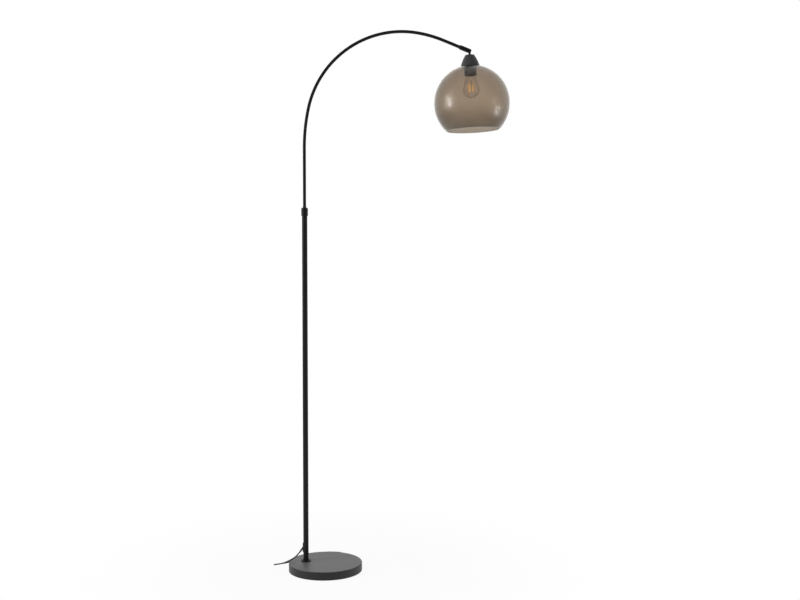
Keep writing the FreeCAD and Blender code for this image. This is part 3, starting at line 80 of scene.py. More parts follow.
class Finish:
    """One material, built node by node."""

    def __init__(self, name):
        self.material = bpy.data.materials.new(name)
        self.material.use_nodes = True
        self.tree = self.material.node_tree
        self.tree.nodes.clear()
        self.output = self.tree.nodes.new("ShaderNodeOutputMaterial")

    def node(self, kind, settings=None, inputs=None, output=0):
        """Add a node; settings go on first, then values or links of its sockets."""
        made = self.tree.nodes.new(kind)
        for key, value in (settings or {}).items():
            if key == "stops":
                self.set_stops(made, value)
            else:
                setattr(made, key, value)
        for key, value in (inputs or {}).items():
            if isinstance(value, Signal):
                self.tree.links.new(value.socket, made.inputs[key])
            else:
                made.inputs[key].default_value = value
        return Signal(self, made.outputs[output])

    @staticmethod
    def set_stops(ramp, stops):
        elements = ramp.color_ramp.elements
        while len(elements) < len(stops):
            elements.new(1.0)
        for element, (place, colour) in zip(elements, stops):
            element.position = place
            element.color = colour

    def place(self):
        """The piece's own coordinates, in metres."""
        return self.node("ShaderNodeTexCoord", output="Object")

    def stretched(self, scale):
        return self.node("ShaderNodeMapping", {}, {"Vector": self.place(), "Scale": scale})

    def noise(self, scale, detail=3.0, roughness=0.55, vector=None):
        return self.node("ShaderNodeTexNoise", {}, {
            "Vector": vector or self.place(), "Scale": scale, "Detail": detail,
            "Roughness": roughness})

    def grains(self, scale):
        return self.node("ShaderNodeTexVoronoi", {"feature": "SMOOTH_F1"},
                         {"Vector": self.place(), "Scale": scale})

    def mixed(self, factor, low, high):
        """Colour between low and high by a factor."""
        return self.node("ShaderNodeMix", {"data_type": "RGBA"},
                         {0: factor, 6: low, 7: high}, output=2)

    def bump(self, height, distance, strength=1.0):
        return self.node("ShaderNodeBump", {}, {
            "Height": height, "Distance": distance, "Strength": strength})

    def shader(self, **inputs):
        named = {key.replace("_", " "): value for key, value in inputs.items()}
        return self.node("ShaderNodeBsdfPrincipled", {}, named)

    def finished(self, shader):
        self.tree.links.new(shader.socket, self.output.inputs["Surface"])
        return self.material


def tint(red, green, blue):
    return (red, green, blue, 1.0)


def grey(value, warm=0.0):
    return (value * (1 + warm), value, value * (1 - warm), 1.0)


# --------------------------------------------------------------------------------------
# Finishes
# --------------------------------------------------------------------------------------
def powder_coat(name, base, grain=0.9, streak=0.0, gloss=0.5, dull=0.42, dust_and_painted_light=0.0):
    """Fine-textured charcoal powder coat: tiny even grains with soft larger clouds.

    Painted light makes the flat top of the base lighter, above its rounded edge, as where the
    lamps fall on it.
    """
    make = Finish(name)
    grains = make.grains(1000 / grain)
    fine = make.noise(2200.0, 2.0)
    clouds = make.noise(9.0, 2.0)
    brushed = make.noise(40.0, 4.0, 0.6, make.stretched((0.12, 1.6, 1.0)))
    shade = (clouds * 0.45 + fine * 0.25 + grains * 0.35 + brushed * streak).clamped()
    colour = make.mixed(shade, grey(base * 0.72, 0.01), grey(base * 1.3, 0.01))
    # Painted light: the flat top is coloured lighter than the sides.
    if dust_and_painted_light:
        height = make.node("ShaderNodeSeparateXYZ", {}, {0: make.place()}, output="Z")
        top = ((height - PAINTED_LIGHT_LINE) * 700.0).clamped()
        colour = make.mixed(top * (0.85 + clouds * 0.3), colour, grey(dust_and_painted_light, 0.01))
    rough = dull + fine * 0.12 + clouds * 0.08
    relief = make.bump(grains * 0.7 + fine * 0.3, 0.00009, 0.6)
    return make.finished(make.shader(Base_Color=colour, Roughness=rough, Normal=relief,
                                     Specular_IOR_Level=gloss))


def smooth_plastic(name, base, rough=0.4, grain=0.5, warm=0.0):
    """Moulded plastic or rubber with a fine spark-eroded skin and faint flow clouds."""
    make = Finish(name)
    fine = make.noise(1000 / grain, 2.0)
    clouds = make.noise(60.0, 3.0)
    colour = make.mixed(clouds, grey(base * 0.8, warm), grey(base * 1.25, warm))
    relief = make.bump(fine, 0.00004, 0.5)
    return make.finished(make.shader(Base_Color=colour, Roughness=rough + fine * 0.15 - 0.07,
                                     Normal=relief))


def turned_metal(name, low, high, rough=0.28):
    """Machined or drawn metal: fine lines and a little uneven tone."""
    make = Finish(name)
    lines = make.noise(300.0, 4.0, 0.6, make.stretched((1.0, 1.0, 9.0)))
    clouds = make.noise(45.0, 3.0)
    colour = make.mixed((lines * 0.5 + clouds * 0.5).clamped(), low, high)
    relief = make.bump(lines, 0.00002, 0.6)
    return make.finished(make.shader(Base_Color=colour, Metallic=1.0, Normal=relief,
                                     Roughness=rough + lines * 0.18))


def sand_cast(name):
    make = Finish(name)
    grains = make.noise(420.0, 5.0, 0.65)
    pits = make.grains(260.0)
    colour = make.mixed((grains * 0.7 + pits * 0.5).clamped(), grey(0.05), grey(0.16, 0.02))
    relief = make.bump(grains * 0.6 + pits * 0.4, 0.0004, 0.7)
    return make.finished(make.shader(Base_Color=colour, Metallic=0.55,
                                     Roughness=0.62 + grains * 0.2, Normal=relief))


def pressed_felt(name):
    make = Finish(name)
    fibres = make.noise(900.0, 6.0, 0.7, make.stretched((1.0, 1.0, 0.3)))
    tufts = make.noise(160.0, 3.0)
    colour = make.mixed((fibres * 0.7 + tufts * 0.3).clamped(), grey(0.012), grey(0.07))
    relief = make.bump(fibres, 0.0004, 0.8)
    return make.finished(make.shader(Base_Color=colour, Roughness=0.95, Normal=relief,
                                     Sheen_Weight=0.4))


def glazed_white(name):
    make = Finish(name)
    clouds = make.noise(120.0, 3.0)
    specks = make.noise(1500.0, 1.0)
    colour = make.mixed((clouds * 0.8 + specks * 0.2).clamped(), tint(0.62, 0.58, 0.50),
                        tint(0.80, 0.77, 0.70))
    return make.finished(make.shader(Base_Color=colour, Roughness=0.25 + specks * 0.12,
                                     Normal=make.bump(specks, 0.00003, 0.4)))


def smoked_glass(name):
    """Grey-brown glass with painted shade deepening towards the mouth, darker at glancing angles,
    with soft reflections.
    """
    make = Finish(name)
    swirl = make.noise(14.0, 3.0, 0.5, make.stretched((1.0, 1.0, 0.5)))
    height = make.node("ShaderNodeSeparateXYZ", {}, {0: make.place()}, output="Z")
    # Painted shade: the glass is coloured darker towards its mouth, where it reflects less light.
    deep = make.node("ShaderNodeMapRange", {"interpolation_type": "SMOOTHSTEP"}, {
        "Value": height, "From Min": PAINTED_SHADE_LOW, "From Max": PAINTED_SHADE_HIGH})
    body = make.mixed((deep + swirl * 0.12 - 0.06).clamped(), tint(0.34, 0.285, 0.225),
                      tint(0.56, 0.485, 0.405))
    edge = make.node("ShaderNodeLayerWeight", {}, {"Blend": 0.28}, output="Facing")
    colour = make.mixed((edge * 0.6).clamped(), body, tint(0.13, 0.12, 0.11))
    ripple = make.bump(swirl, 0.0004, 0.08)
    return make.finished(make.shader(
        Base_Color=colour, Roughness=0.02, IOR=1.1, Transmission_Weight=1.0,
        Coat_Weight=0.9, Coat_Roughness=0.33, Coat_IOR=1.5, Normal=ripple))


def bulb_glass(name):
    """Thin clear glass whose outline is painted darker at glancing angles: painted shade for its
    rim.
    """
    make = Finish(name)
    swirl = make.noise(60.0, 2.0)
    # Painted shade: the clear glass is coloured darker towards its outline.
    edge = make.node("ShaderNodeLayerWeight", {}, {"Blend": 0.45}, output="Facing")
    glass_tone_and_painted_rim = make.mixed((edge * 0.9 + swirl * 0.1).clamped(), tint(0.99, 0.98, 0.96),
                     tint(0.55, 0.52, 0.48))
    return make.finished(make.shader(Base_Color=glass_tone_and_painted_rim, Roughness=0.0, IOR=1.45,
                                     Transmission_Weight=1.0,
                                     Normal=make.bump(swirl, 0.0002, 0.05)))


def phosphor(name):
    """Amber coating of the light sticks, a little lighter along their chips, with a faint painted
    glow though the bulb is not lit.
    """
    make = Finish(name)
    chips = make.noise(1100.0, 2.0, 0.5, make.stretched((1.0, 1.0, 0.7)))
    colour = make.mixed(chips, tint(0.88, 0.52, 0.20), tint(1.0, 0.74, 0.38))
    # The emission is a painted glow: the bulb is switched off.
    return make.finished(make.shader(Base_Color=colour, Roughness=0.45,
                                     Emission_Color=colour, Emission_Strength=0.5))


BLACK_STEEL = powder_coat("charcoal_powder_coat", 0.011, gloss=0.2)
# The base's lighter top is painted light.
BASE_STEEL = powder_coat("base_powder_coat", 0.007, grain=1.1, streak=0.4, gloss=0.45,
                         dull=0.38, dust_and_painted_light=0.13)
CUP_STEEL = powder_coat("cup_powder_coat", 0.062, grain=1.6)
FINISHES = {
    "black_paint": BLACK_STEEL,
    "cast_iron": sand_cast("sand_cast_iron"),
    "felt": pressed_felt("pressed_felt"),
    "zinc_steel": turned_metal("zinc_plated_steel", grey(0.42), grey(0.62, 0.02)),
    "nylon": smooth_plastic("black_nylon", 0.03, 0.5),
    "rubber": smooth_plastic("black_rubber", 0.02, 0.62, 0.8),
    "cord_pvc": smooth_plastic("cord_sheath", 0.018, 0.45, 0.6),
    "inner_lead": smooth_plastic("inner_lead_sheath", 0.04, 0.45),
    "black_plastic": smooth_plastic("black_moulded_plastic", 0.026, 0.36),
    "porcelain": glazed_white("porcelain_glaze"),
    "brass": turned_metal("rolled_brass", tint(0.62, 0.42, 0.16), tint(0.86, 0.64, 0.30)),
    "smoked_glass": smoked_glass("smoked_glass"),
    "clear_glass": bulb_glass("clear_bulb_glass"),
    "aluminium_cap": turned_metal("rolled_aluminium", grey(0.62), grey(0.82)),
    "filament": phosphor("amber_phosphor"),
    "pin_nickel": turned_metal("nickel_plate", grey(0.60, 0.02), grey(0.78, 0.03), 0.16),
}
OWN_FINISH = {"base_cover": BASE_STEEL, "holder_cup": CUP_STEEL}

node_slot = {entry["node"]: entry["material_slot"] for entry in frame["record"]["subparts"]}
for node_name, slot_name in node_slot.items():
    finish = OWN_FINISH.get(node_name, FINISHES[slot_name])
    surfaces = frame["nodes"][node_name].data.materials
    surfaces.clear()
    surfaces.append(finish)


# --------------------------------------------------------------------------------------
# The cord
# --------------------------------------------------------------------------------------
CORD_HALF = 2.25                      # the cord's radius in mm
CORD_RADIUS = CORD_HALF * MM
SPOUT_START = (-76.8, 0.0, 76.0)      # the strain relief's spout, on the back of the pole
SPOUT_LENGTH = 20
SPOUT_SLOPE = math.radians(52)
SPOUT_ASIDE = math.radians(-12)
SWITCH_PLACE = (-84.0, 121.0, 24.0)   # x, y and heading of the switch, the hank and the plug
SWITCH_HALF, SWITCH_CORD = 26, 7.55   # half its length, and the cord's height in it
HANK_PLACE = (-4.0, 162.0, 0.0)
PLUG_PLACE = (78.0, 125.0, -14.0)
PLUG_TAIL, PLUG_CORD = 40, 6.9        # length behind its face, and the cord's height in it
ROUTE_TO_SWITCH = [(-108.5, -8.5, 40), (-123.5, -14.5, 32.1), (-141, -13, 23.8),
                   (-159.5, -4.9, 17.1), (-175.5, 2.8, 12.3), (-183.1, 13.4, 8.1),
                   (-184.1, 26.5, 4.6), (-178.4, 38.7, 2.5), (-164, 49.8, 2.5),
                   (-146, 62.2, 2.5), (-135, 83, 3.2)]
HANK_BEND, HANK_RUN, HANK_PITCH, HANK_TURNS = 13.6, 27.0, 4.95, 3
BEND_CORNERS = 5                      # control points around each half turn
FLOOR_GAP, TIE_WALL, TIE_GAP = 0.05, 0.8, 0.2
HANK_LOW = CORD_HALF + FLOOR_GAP + TIE_WALL + TIE_GAP
HANK_SIDE = HANK_BEND + HANK_PITCH * (HANK_TURNS - 0.5)


def placed(place, along, across, height):
    x, y, heading = place
    turned = math.radians(heading)
    return (x + along * math.cos(turned) - across * math.sin(turned),
            y + along * math.sin(turned) + across * math.cos(turned), height)


def spout_end(beyond=0.0):
    """The strain relief's end, or a point on the cord straight beyond it."""
    reach = SPOUT_LENGTH + beyond
    x, y, z = SPOUT_START
    return (x - reach * math.cos(SPOUT_SLOPE) * math.cos(SPOUT_ASIDE),
            y + reach * math.cos(SPOUT_SLOPE) * math.sin(SPOUT_ASIDE),
            z - reach * math.sin(SPOUT_SLOPE))


def switch_end(side, beyond=0.0):
    return placed(SWITCH_PLACE, side * (SWITCH_HALF + beyond), 0, SWITCH_CORD)


def plug_end(beyond=0.0):
    return placed(PLUG_PLACE, -PLUG_TAIL - beyond, 0, PLUG_CORD)


def hank_end(side, beyond):
    """A point beyond an end of the hank: it comes in low and goes out high."""
    height = HANK_LOW + HANK_PITCH if side > 0 else HANK_LOW
    return placed(HANK_PLACE, side * (HANK_RUN / 2 + beyond), -HANK_SIDE, height)


def hank_points():
    """Control points of the wound length: the same number of corners to each half turn."""
    bends = [HANK_BEND + HANK_PITCH / 2 * k for k in range(2 * HANK_TURNS)]
    step = math.radians(180 / BEND_CORNERS)
    across, side, points = -bends[-1], 1, []
    layers = [(radius, HANK_LOW) for radius in reversed(bends)]
    layers += [(radius, HANK_LOW + HANK_PITCH) for radius in bends]
    before = HANK_LOW
    points.append((-HANK_RUN / 2, across, HANK_LOW))
    for radius, height in layers:
        turned = 1 if across < 0 else -1
        leg = radius * math.tan(step / 2)
        points.append((-side * (HANK_RUN / 2 - leg), across, before))
        points.append((side * (HANK_RUN / 2 - leg), across, height))
        for k in range(BEND_CORNERS):
            angle = (k + 0.5) * step
            reach = radius / math.cos(step / 2)
            points.append((side * (HANK_RUN / 2 + reach * math.sin(angle)),
                           across + turned * (radius - reach * math.cos(angle)), height))
        across += turned * 2 * radius
        side, before = -side, height
    points.append((side * HANK_RUN / 2, across, before))
    return [placed(HANK_PLACE, *point) for point in points]


def cord_curve(name, points):
    """One smooth spline with the route's points as its control points."""
    curve = bpy.data.curves.new(name, "CURVE")
    curve.dimensions = "3D"
    spline = curve.splines.new("NURBS")
    spline.points.add(len(points) - 1)
    for control, spot in zip(spline.points, points):
        control.co = (spot[0] * MM, spot[1] * MM, spot[2] * MM, 1.0)
    spline.order_u = 3
    spline.use_endpoint_u = True
    spline.resolution_u = 10
    curve.bevel_depth = CORD_RADIUS
    curve.bevel_resolution = 5
    curve.use_fill_caps = True
    curve.materials.append(FINISHES["cord_pvc"])
    made = bpy.data.objects.new(name, curve)
    bpy.context.scene.collection.objects.link(made)
    return made


lamp_cord = cord_curve("lamp_cord", [spout_end(), spout_end(beyond=15)] + ROUTE_TO_SWITCH
                       + [switch_end(-1, beyond=18), switch_end(-1)])
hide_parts("cord_to_switch")
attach(lamp_cord, "base")

plug_cord = cord_curve("plug_cord", [switch_end(1), switch_end(1, beyond=16),
                                     hank_end(-1, beyond=9)] + hank_points()
                       + [hank_end(1, beyond=9), plug_end(beyond=10), plug_end()])
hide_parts("cord_to_hank", "cord_hank", "cord_to_plug")
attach(plug_cord, "base")


# --------------------------------------------------------------------------------------
# The hank's strap, and what repeats: screw threads, spout ribs, light sticks and wires
# --------------------------------------------------------------------------------------
class Growth:
    """A Geometry Nodes tree with named inputs, whose result becomes a plain mesh."""

    def __init__(self, name, **kinds):
        self.tree = bpy.data.node_groups.new(name, "GeometryNodeTree")
        self.keys = {}
        for label, kind in kinds.items():
            socket = self.tree.interface.new_socket(label, in_out="INPUT",
                                                    socket_type="NodeSocket" + kind)
            self.keys[label] = socket.identifier
        self.tree.interface.new_socket("Mesh", in_out="OUTPUT",
                                       socket_type="NodeSocketGeometry")
        self.start = self.tree.nodes.new("NodeGroupInput")

    def given(self, label):
        return self.start.outputs[label]

    def node(self, kind, inputs, settings=None, output=0):
        made = self.tree.nodes.new(kind)
        for key, value in (settings or {}).items():
            setattr(made, key, value)
        for key, value in inputs.items():
            if isinstance(value, bpy.types.NodeSocket):
                self.tree.links.new(value, made.inputs[key])
            else:
                made.inputs[key].default_value = value
        return made.outputs[output]

    def maths(self, operation, first, second):
        return self.node("ShaderNodeMath", {0: first, 1: second}, {"operation": operation})

    def ended(self, geometry):
        """Close the tree: real geometry with its material."""
        real = self.node("GeometryNodeRealizeInstances", {"Geometry": geometry})
        done = self.node("GeometryNodeSetMaterial", {
            "Geometry": real, "Material": self.given("Material")})
        self.tree.links.new(done, self.tree.nodes.new("NodeGroupOutput").inputs[0])

    def grown(self, name, matrix, **values):
        """Run the tree once and keep its result as a mesh in the lamp's frame."""
        made = bpy.data.objects.new(name, bpy.data.meshes.new(name))
        bpy.context.scene.collection.objects.link(made)
        modifier = made.modifiers.new(name, "NODES")
        modifier.node_group = self.tree
        for label, value in values.items():
            modifier[self.keys[label]] = value
        graph = bpy.context.evaluated_depsgraph_get()
        mesh = bpy.data.meshes.new_from_object(made.evaluated_get(graph), depsgraph=graph)
        made.modifiers.clear()
        made.data = mesh
        mesh.transform(matrix)
        for face in mesh.polygons:
            face.use_smooth = True
        return made


def thread_growth():
    """A ridge wound around the Z axis."""
    grow = Growth("screw_thread", Radius="Float", Ridge="Float", Pitch="Float", Turns="Float",
                  Material="Material")
    rise = grow.maths("MULTIPLY", grow.given("Pitch"), grow.given("Turns"))
    helix = grow.node("GeometryNodeCurveSpiral", {
        "Resolution": 64, "Rotations": grow.given("Turns"), "Height": rise,
        "Start Radius": grow.given("Radius"), "End Radius": grow.given("Radius")})
    section = grow.node("GeometryNodeCurvePrimitiveCircle", {
        "Resolution": 8, "Radius": grow.given("Ridge")}, {"mode": "RADIUS"})
    grow.ended(grow.node("GeometryNodeCurveToMesh", {
        "Curve": helix, "Profile Curve": section, "Fill Caps": True}))
    return grow


def rib_growth():
    """Rings along the Z axis that get smaller from the first to the last."""
    grow = Growth("spout_ribs", Count="Int", Pitch="Float", First="Float", Shrink="Float",
                  Wire="Float", Material="Material")
    places = grow.node("GeometryNodeMeshLine", {
        "Count": grow.given("Count"),
        "Offset": grow.node("ShaderNodeCombineXYZ", {"Z": grow.given("Pitch")})})
    circle = grow.node("GeometryNodeCurvePrimitiveCircle", {
        "Resolution": 40, "Radius": grow.given("First")}, {"mode": "RADIUS"})
    section = grow.node("GeometryNodeCurvePrimitiveCircle", {
        "Resolution": 10, "Radius": grow.given("Wire")}, {"mode": "RADIUS"})
    ring = grow.node("GeometryNodeCurveToMesh", {"Curve": circle, "Profile Curve": section})
    index = grow.node("GeometryNodeInputIndex", {})
    smaller = grow.maths("SUBTRACT", 1.0, grow.maths("MULTIPLY", index, grow.given("Shrink")))
    grow.ended(grow.node("GeometryNodeInstanceOnPoints", {
        "Points": places, "Instance": ring, "Scale": smaller}))
    return grow


def wreath_growth():
    """Copies of one piece set around the Z axis, each turned a little off its even place."""
    grow = Growth("wreath", Piece="Object", Count="Int", Jitter="Float", Seed="Int",
                  Material="Material")
    places = grow.node("GeometryNodeMeshLine", {
        "Count": grow.given("Count"), "Offset": (0.0, 0.0, 0.0)})
    piece = grow.node("GeometryNodeObjectInfo", {"Object": grow.given("Piece")},
                      output="Geometry")
    step = grow.maths("DIVIDE", math.tau, grow.given("Count"))
    even = grow.maths("MULTIPLY", grow.node("GeometryNodeInputIndex", {}), step)
    off = grow.node("FunctionNodeRandomValue", {
        "Max": grow.given("Jitter"), "Seed": grow.given("Seed")},
        {"data_type": "FLOAT"}, output=1)
    turned = grow.node("ShaderNodeCombineXYZ", {"Z": grow.maths("ADD", even, off)})
    grow.ended(grow.node("GeometryNodeInstanceOnPoints", {
        "Points": places, "Instance": piece, "Rotation": turned}))
    return grow


def rods(name, lines, sides=10):
    """Round rods with eased ends: each line is a start, an end and a radius in mm."""
    corners, faces = [], []
    for start, end, radius in lines:
        start, end = Vector(start), Vector(end)
        way = (end - start).normalized()
        across = way.orthogonal().normalized()
        aside = way.cross(across)
        rings = ((0.0, 0.45), (0.35, 0.85), (0.9, 1.0))
        steps = [(start + way * radius * far, radius * wide) for far, wide in rings]
        steps += [(end - way * radius * far, radius * wide) for far, wide in reversed(rings)]
        first = len(corners)
        for middle, wide in steps:
            for k in range(sides):
                angle = math.tau * k / sides
                spot = middle + (across * math.cos(angle) + aside * math.sin(angle)) * wide
                corners.append(spot * MM)
        for ring in range(len(steps) - 1):
            for k in range(sides):
                here, beside = first + ring * sides + k, first + ring * sides + (k + 1) % sides
                faces.append((here, beside, beside + sides, here + sides))
        faces.append([first + k for k in reversed(range(sides))])
        faces.append([first + (len(steps) - 1) * sides + k for k in range(sides)])
    mesh = bpy.data.meshes.new(name)
    mesh.from_pydata(corners, [], faces)
    return bpy.data.objects.new(name, mesh)


def strap(name, reach, low, high, corner, width, thick):
    """Flat strap around the hank: a rounded loop across X with a flat, soft-edged section.

    reach is half its width outside, low and high its heights, and corner its outer rounding.
    """
    loop = []
    steps = 8
    for across, up, first in ((1, 1, 0), (-1, 1, 90), (-1, -1, 180), (1, -1, 270)):
        middle = (across * (reach - corner), high - corner if up > 0 else low + corner)
        for step in range(steps + 1):
            angle = math.radians(first + step * 90 / steps)
            loop.append((middle, (math.cos(angle), math.sin(angle))))
    edge = 0.25 * thick
    section = [(-width / 2, edge), (-width / 2 + edge, 0), (width / 2 - edge, 0),
               (width / 2, edge), (width / 2, thick - edge), (width / 2 - edge, thick),
               (-width / 2 + edge, thick), (-width / 2, thick - edge)]
    corners = []
    for middle, way in loop:
        for along, deep in section:
            out = corner - deep
            spot = Vector((along, middle[0] + way[0] * out, middle[1] + way[1] * out))
            corners.append(spot * MM)
    count, sides, faces = len(loop), len(section), []
    for k in range(count):
        for j in range(sides):
            after, beside = (k + 1) % count, (j + 1) % sides
            faces.append((k * sides + j, k * sides + beside, after * sides + beside,
                          after * sides + j))
    mesh = bpy.data.meshes.new(name)
    mesh.from_pydata(corners, [], faces)
    x, y, heading = HANK_PLACE
    mesh.transform(Matrix.Translation((x * MM, y * MM, 0))
                   @ Matrix.Rotation(math.radians(heading), 4, "Z"))
    mesh.materials.append(FINISHES["nylon"])
    made = bpy.data.objects.new(name, mesh)
    bpy.context.scene.collection.objects.link(made)
    return made


SHADE_FRAME = Matrix.Translation(PIVOT) @ Matrix.Rotation(-LEAN, 4, "Y")
SPREAD = 9.0                                  # radius of the ring of light sticks
STICK_TOP, STICK_LOW, STICK_LEAN = -105.5, -133.5, 1.5
STICK_RADIUS, WIRE_RADIUS, ARM_RADIUS = 1.5, 0.32, 0.35
STEM_LOW, WIRE_OFF = -98.0, 0.6               # the wires' start, and their place off the axis
HUB = STICK_LOW - 2.5                         # where they meet again below the sticks
ARM_ABOVE, ARM_BELOW = 0.8, 0.6               # from a stick's ends to the wires that hold it
CAP_THREAD_Z, SKIRT_THREAD_Z = -73, -78       # lowest turns, from the knuckle down
RIBS_START = 6                                # from the spout's start to its first rib
WREATH = {"Count": 6, "Jitter": 0.25, "Seed": 4}

hank_strap = strap("hank_strap", reach=29.0, low=0.1, high=11.1, corner=4.7, width=10.0,
                   thick=0.45)
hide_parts("hank_tie")
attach(hank_strap, "base")
[c * MM for c in switch_end(1)]

thread = thread_growth()
cap_thread = thread.grown(
    "bulb_cap_thread", SHADE_FRAME @ Matrix.Translation((0, 0, CAP_THREAD_Z * MM)),
    Radius=12.75 * MM, Ridge=0.75 * MM, Pitch=3.6 * MM, Turns=4.4,
    Material=FINISHES["aluminium_cap"])
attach(cap_thread, "shade")
skirt_thread = thread.grown(
    "lampholder_thread", SHADE_FRAME @ Matrix.Translation((0, 0, SKIRT_THREAD_Z * MM)),
    Radius=19.75 * MM, Ridge=0.5 * MM, Pitch=2.5 * MM, Turns=8.2,
    Material=FINISHES["black_plastic"])
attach(skirt_thread, "shade")

wreath = wreath_growth()
stick = rods("stick", [((SPREAD, 0, STICK_TOP), (SPREAD - STICK_LEAN, 0, STICK_LOW),
                        STICK_RADIUS)])
sticks = wreath.grown("light_sticks", SHADE_FRAME, Piece=stick, **WREATH,
                      Material=FINISHES["filament"])
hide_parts("bulb_filaments")
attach(sticks, "shade")
holder_wire = rods("holder_wire", [
    ((WIRE_OFF, 0, STEM_LOW), (WIRE_OFF, 0, HUB), WIRE_RADIUS),
    ((WIRE_OFF, 0, STEM_LOW), (SPREAD, 0, STICK_TOP + ARM_ABOVE), ARM_RADIUS),
    ((WIRE_OFF, 0, HUB), (SPREAD - STICK_LEAN, 0, STICK_LOW - ARM_BELOW), WIRE_RADIUS)],
    sides=8)
wires = wreath.grown("stick_wires", SHADE_FRAME, Piece=holder_wire, **WREATH,
                     Material=FINISHES["zinc_steel"])
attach(wires, "shade")
for source in (stick, holder_wire):
    bpy.data.objects.remove(source)

spout_way = Vector(spout_end()) - Vector(SPOUT_START)
spout_frame = (Matrix.Translation(Vector(SPOUT_START) * MM)
               @ spout_way.to_track_quat("Z", "Y").to_matrix().to_4x4())
ribs = rib_growth().grown(
    "spout_ribs", spout_frame @ Matrix.Translation((0, 0, RIBS_START * MM)), Count=4,
    Pitch=3.5 * MM, First=3.55 * MM, Shrink=0.066, Wire=0.42 * MM,
    Material=FINISHES["rubber"])
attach(ribs, "base")


# --------------------------------------------------------------------------------------
# Stage, light and camera
# --------------------------------------------------------------------------------------
AMBIENT = 0.45      # the world's light on the object
ROOM = 0.16         # how bright a reflection sees the room in front of the lamp
FLOOR_WHITE = 0.93  # share of plain white in the floor beside the base, the rest is lit
FLOOR_RADIUS, FADE_START, FADE_RATE = 1.9, 0.35, 1.6
FRONT_EDGE, BACK_EDGE = -0.1, 0.95  # a reflection brightens between these ways along Y
CAMERA_PLACE = (0.6605, -3.6003, 1.1007)
CAMERA_WAY = (-0.11135, 0.99263, -0.04783)
SENSOR, FOCAL_PIXELS, PICTURE_WIDTH = 36.0, 1079.95, 800


def floor_finish():
    """Pale floor: lit where the lamp stands, fading into the white background."""
    make = Finish("pale_floor")
    seen = (make.node("ShaderNodeLightPath", output="Is Camera Ray")
            + make.node("ShaderNodeLightPath", output="Is Glossy Ray")
            + make.node("ShaderNodeLightPath", output="Is Transmission Ray")).clamped()
    spot = make.node("ShaderNodeVectorMath", {"operation": "LENGTH"}, {0: make.place()},
                     output="Value")
    away = ((spot - FADE_START) * FADE_RATE).clamped()
    dust_and_painted_light = make.noise(220.0, 3.0)
    colour = make.mixed(dust_and_painted_light, tint(0.90, 0.90, 0.90), tint(0.93, 0.93, 0.93))
    lit = make.shader(Base_Color=colour, Roughness=0.85, Specular_IOR_Level=0.1,
                      Emission_Color=tint(1, 1, 1), Emission_Strength=0.0)
    glow = make.node("ShaderNodeEmission", {}, {"Color": tint(1, 1, 1), "Strength": 1.0})
    factor = seen * (FLOOR_WHITE + away * (1.0 - FLOOR_WHITE))
    return make.finished(make.node("ShaderNodeMixShader", {}, {0: factor, 1: lit, 2: glow}))


def build_floor():
    mesh = bpy.data.meshes.new("floor")
    sides = 90
    turns = [math.radians(360 / sides * k) for k in range(sides)]
    ring = [(FLOOR_RADIUS * math.cos(turned), FLOOR_RADIUS * math.sin(turned), 0.0)
            for turned in turns]
    mesh.from_pydata(ring, [], [list(range(sides))])
    mesh.materials.append(floor_finish())
    floor = bpy.data.objects.new("floor", mesh)
    bpy.context.scene.collection.objects.link(floor)


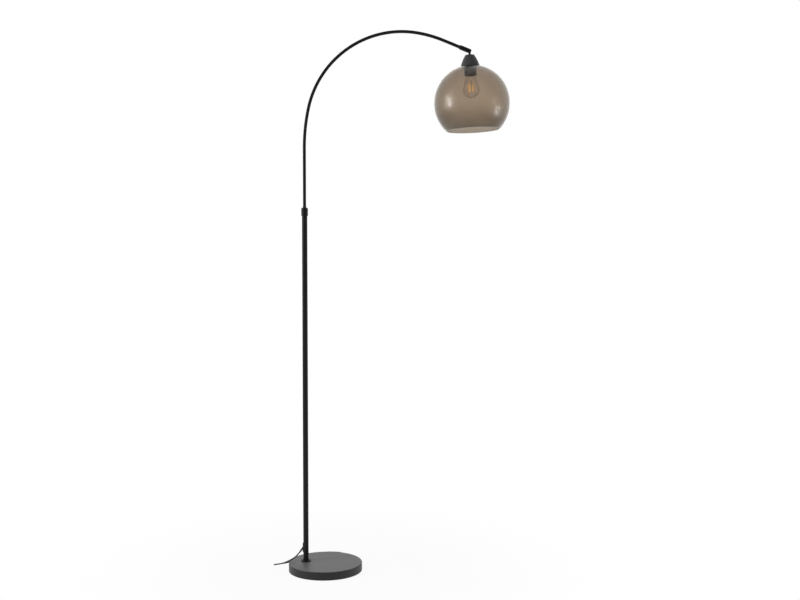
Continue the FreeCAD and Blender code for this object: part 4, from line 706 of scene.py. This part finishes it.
def build_world():
    """White backdrop for the camera and through glass, and soft grey light on the object.

    Reflections see the backdrop white behind the lamp and the room darker in front of it.
    """
    world = bpy.data.worlds.new("studio")
    bpy.context.scene.world = world
    world.use_nodes = True
    tree = world.node_tree
    tree.nodes.clear()

    def add(kind, operation=None, values=()):
        made = tree.nodes.new(kind)
        if operation:
            made.operation = operation
        for i, value in enumerate(values):
            if isinstance(value, bpy.types.NodeSocket):
                tree.links.new(value, made.inputs[i])
            else:
                made.inputs[i].default_value = value
        return made

    path = add("ShaderNodeLightPath")
    way = add("ShaderNodeTexCoord")
    split = add("ShaderNodeSeparateXYZ", None, [way.outputs["Generated"]])
    behind = add("ShaderNodeMapRange")
    tree.links.new(split.outputs["Y"], behind.inputs["Value"])
    for key, value in (("From Min", FRONT_EDGE), ("From Max", BACK_EDGE),
                       ("To Min", ROOM), ("To Max", 1.0)):
        behind.inputs[key].default_value = value
    mirrored = add("ShaderNodeMath", "MULTIPLY",
                   [path.outputs["Is Glossy Ray"], behind.outputs["Result"]])
    seen = add("ShaderNodeMath", "MAXIMUM",
               [path.outputs["Is Camera Ray"], path.outputs["Is Transmission Ray"]])
    white = add("ShaderNodeMath", "MAXIMUM", [seen.outputs[0], mirrored.outputs[0]])
    other = add("ShaderNodeMath", "SUBTRACT", [1.0, path.outputs["Is Glossy Ray"]])
    spread = add("ShaderNodeMath", "MULTIPLY", [other.outputs[0], AMBIENT])
    soft = add("ShaderNodeMath", "MAXIMUM", [white.outputs[0], spread.outputs[0]])
    light = add("ShaderNodeBackground")
    light.inputs["Color"].default_value = tint(1, 1, 1)
    tree.links.new(soft.outputs[0], light.inputs["Strength"])
    out = add("ShaderNodeOutputWorld")
    tree.links.new(light.outputs[0], out.inputs["Surface"])


def area_light(name, place, aim, size, power):
    light = bpy.data.lights.new(name, "AREA")
    light.shape = "RECTANGLE"
    light.size, light.size_y = size
    light.energy = power
    made = bpy.data.objects.new(name, light)
    made.location = place
    way = Vector(aim) - Vector(place)
    made.rotation_euler = way.to_track_quat("-Z", "Y").to_euler()
    bpy.context.scene.collection.objects.link(made)


def build_camera():
    """The photograph's view: from the front, a little to the right, above the lamp's middle."""
    data = bpy.data.cameras.new("camera")
    data.sensor_fit = "HORIZONTAL"
    data.sensor_width = SENSOR
    data.lens = FOCAL_PIXELS / PICTURE_WIDTH * SENSOR
    made = bpy.data.objects.new("camera", data)
    made.location = CAMERA_PLACE
    made.rotation_euler = Vector(CAMERA_WAY).to_track_quat("-Z", "Y").to_euler()
    bpy.context.scene.collection.objects.link(made)
    bpy.context.scene.camera = made


build_floor()
build_world()
area_light("key_softbox", place=(-2.55, -1.15, 1.6), aim=(0.1, 0.0, 1.0), size=(0.95, 1.25),
           power=46)
area_light("fill_softbox", place=(2.9, 0.0, 0.85), aim=(0.3, 0.0, 1.0), size=(0.6, 0.8),
           power=14)
build_camera()
bpy.context.scene.view_settings.view_transform = "Standard"
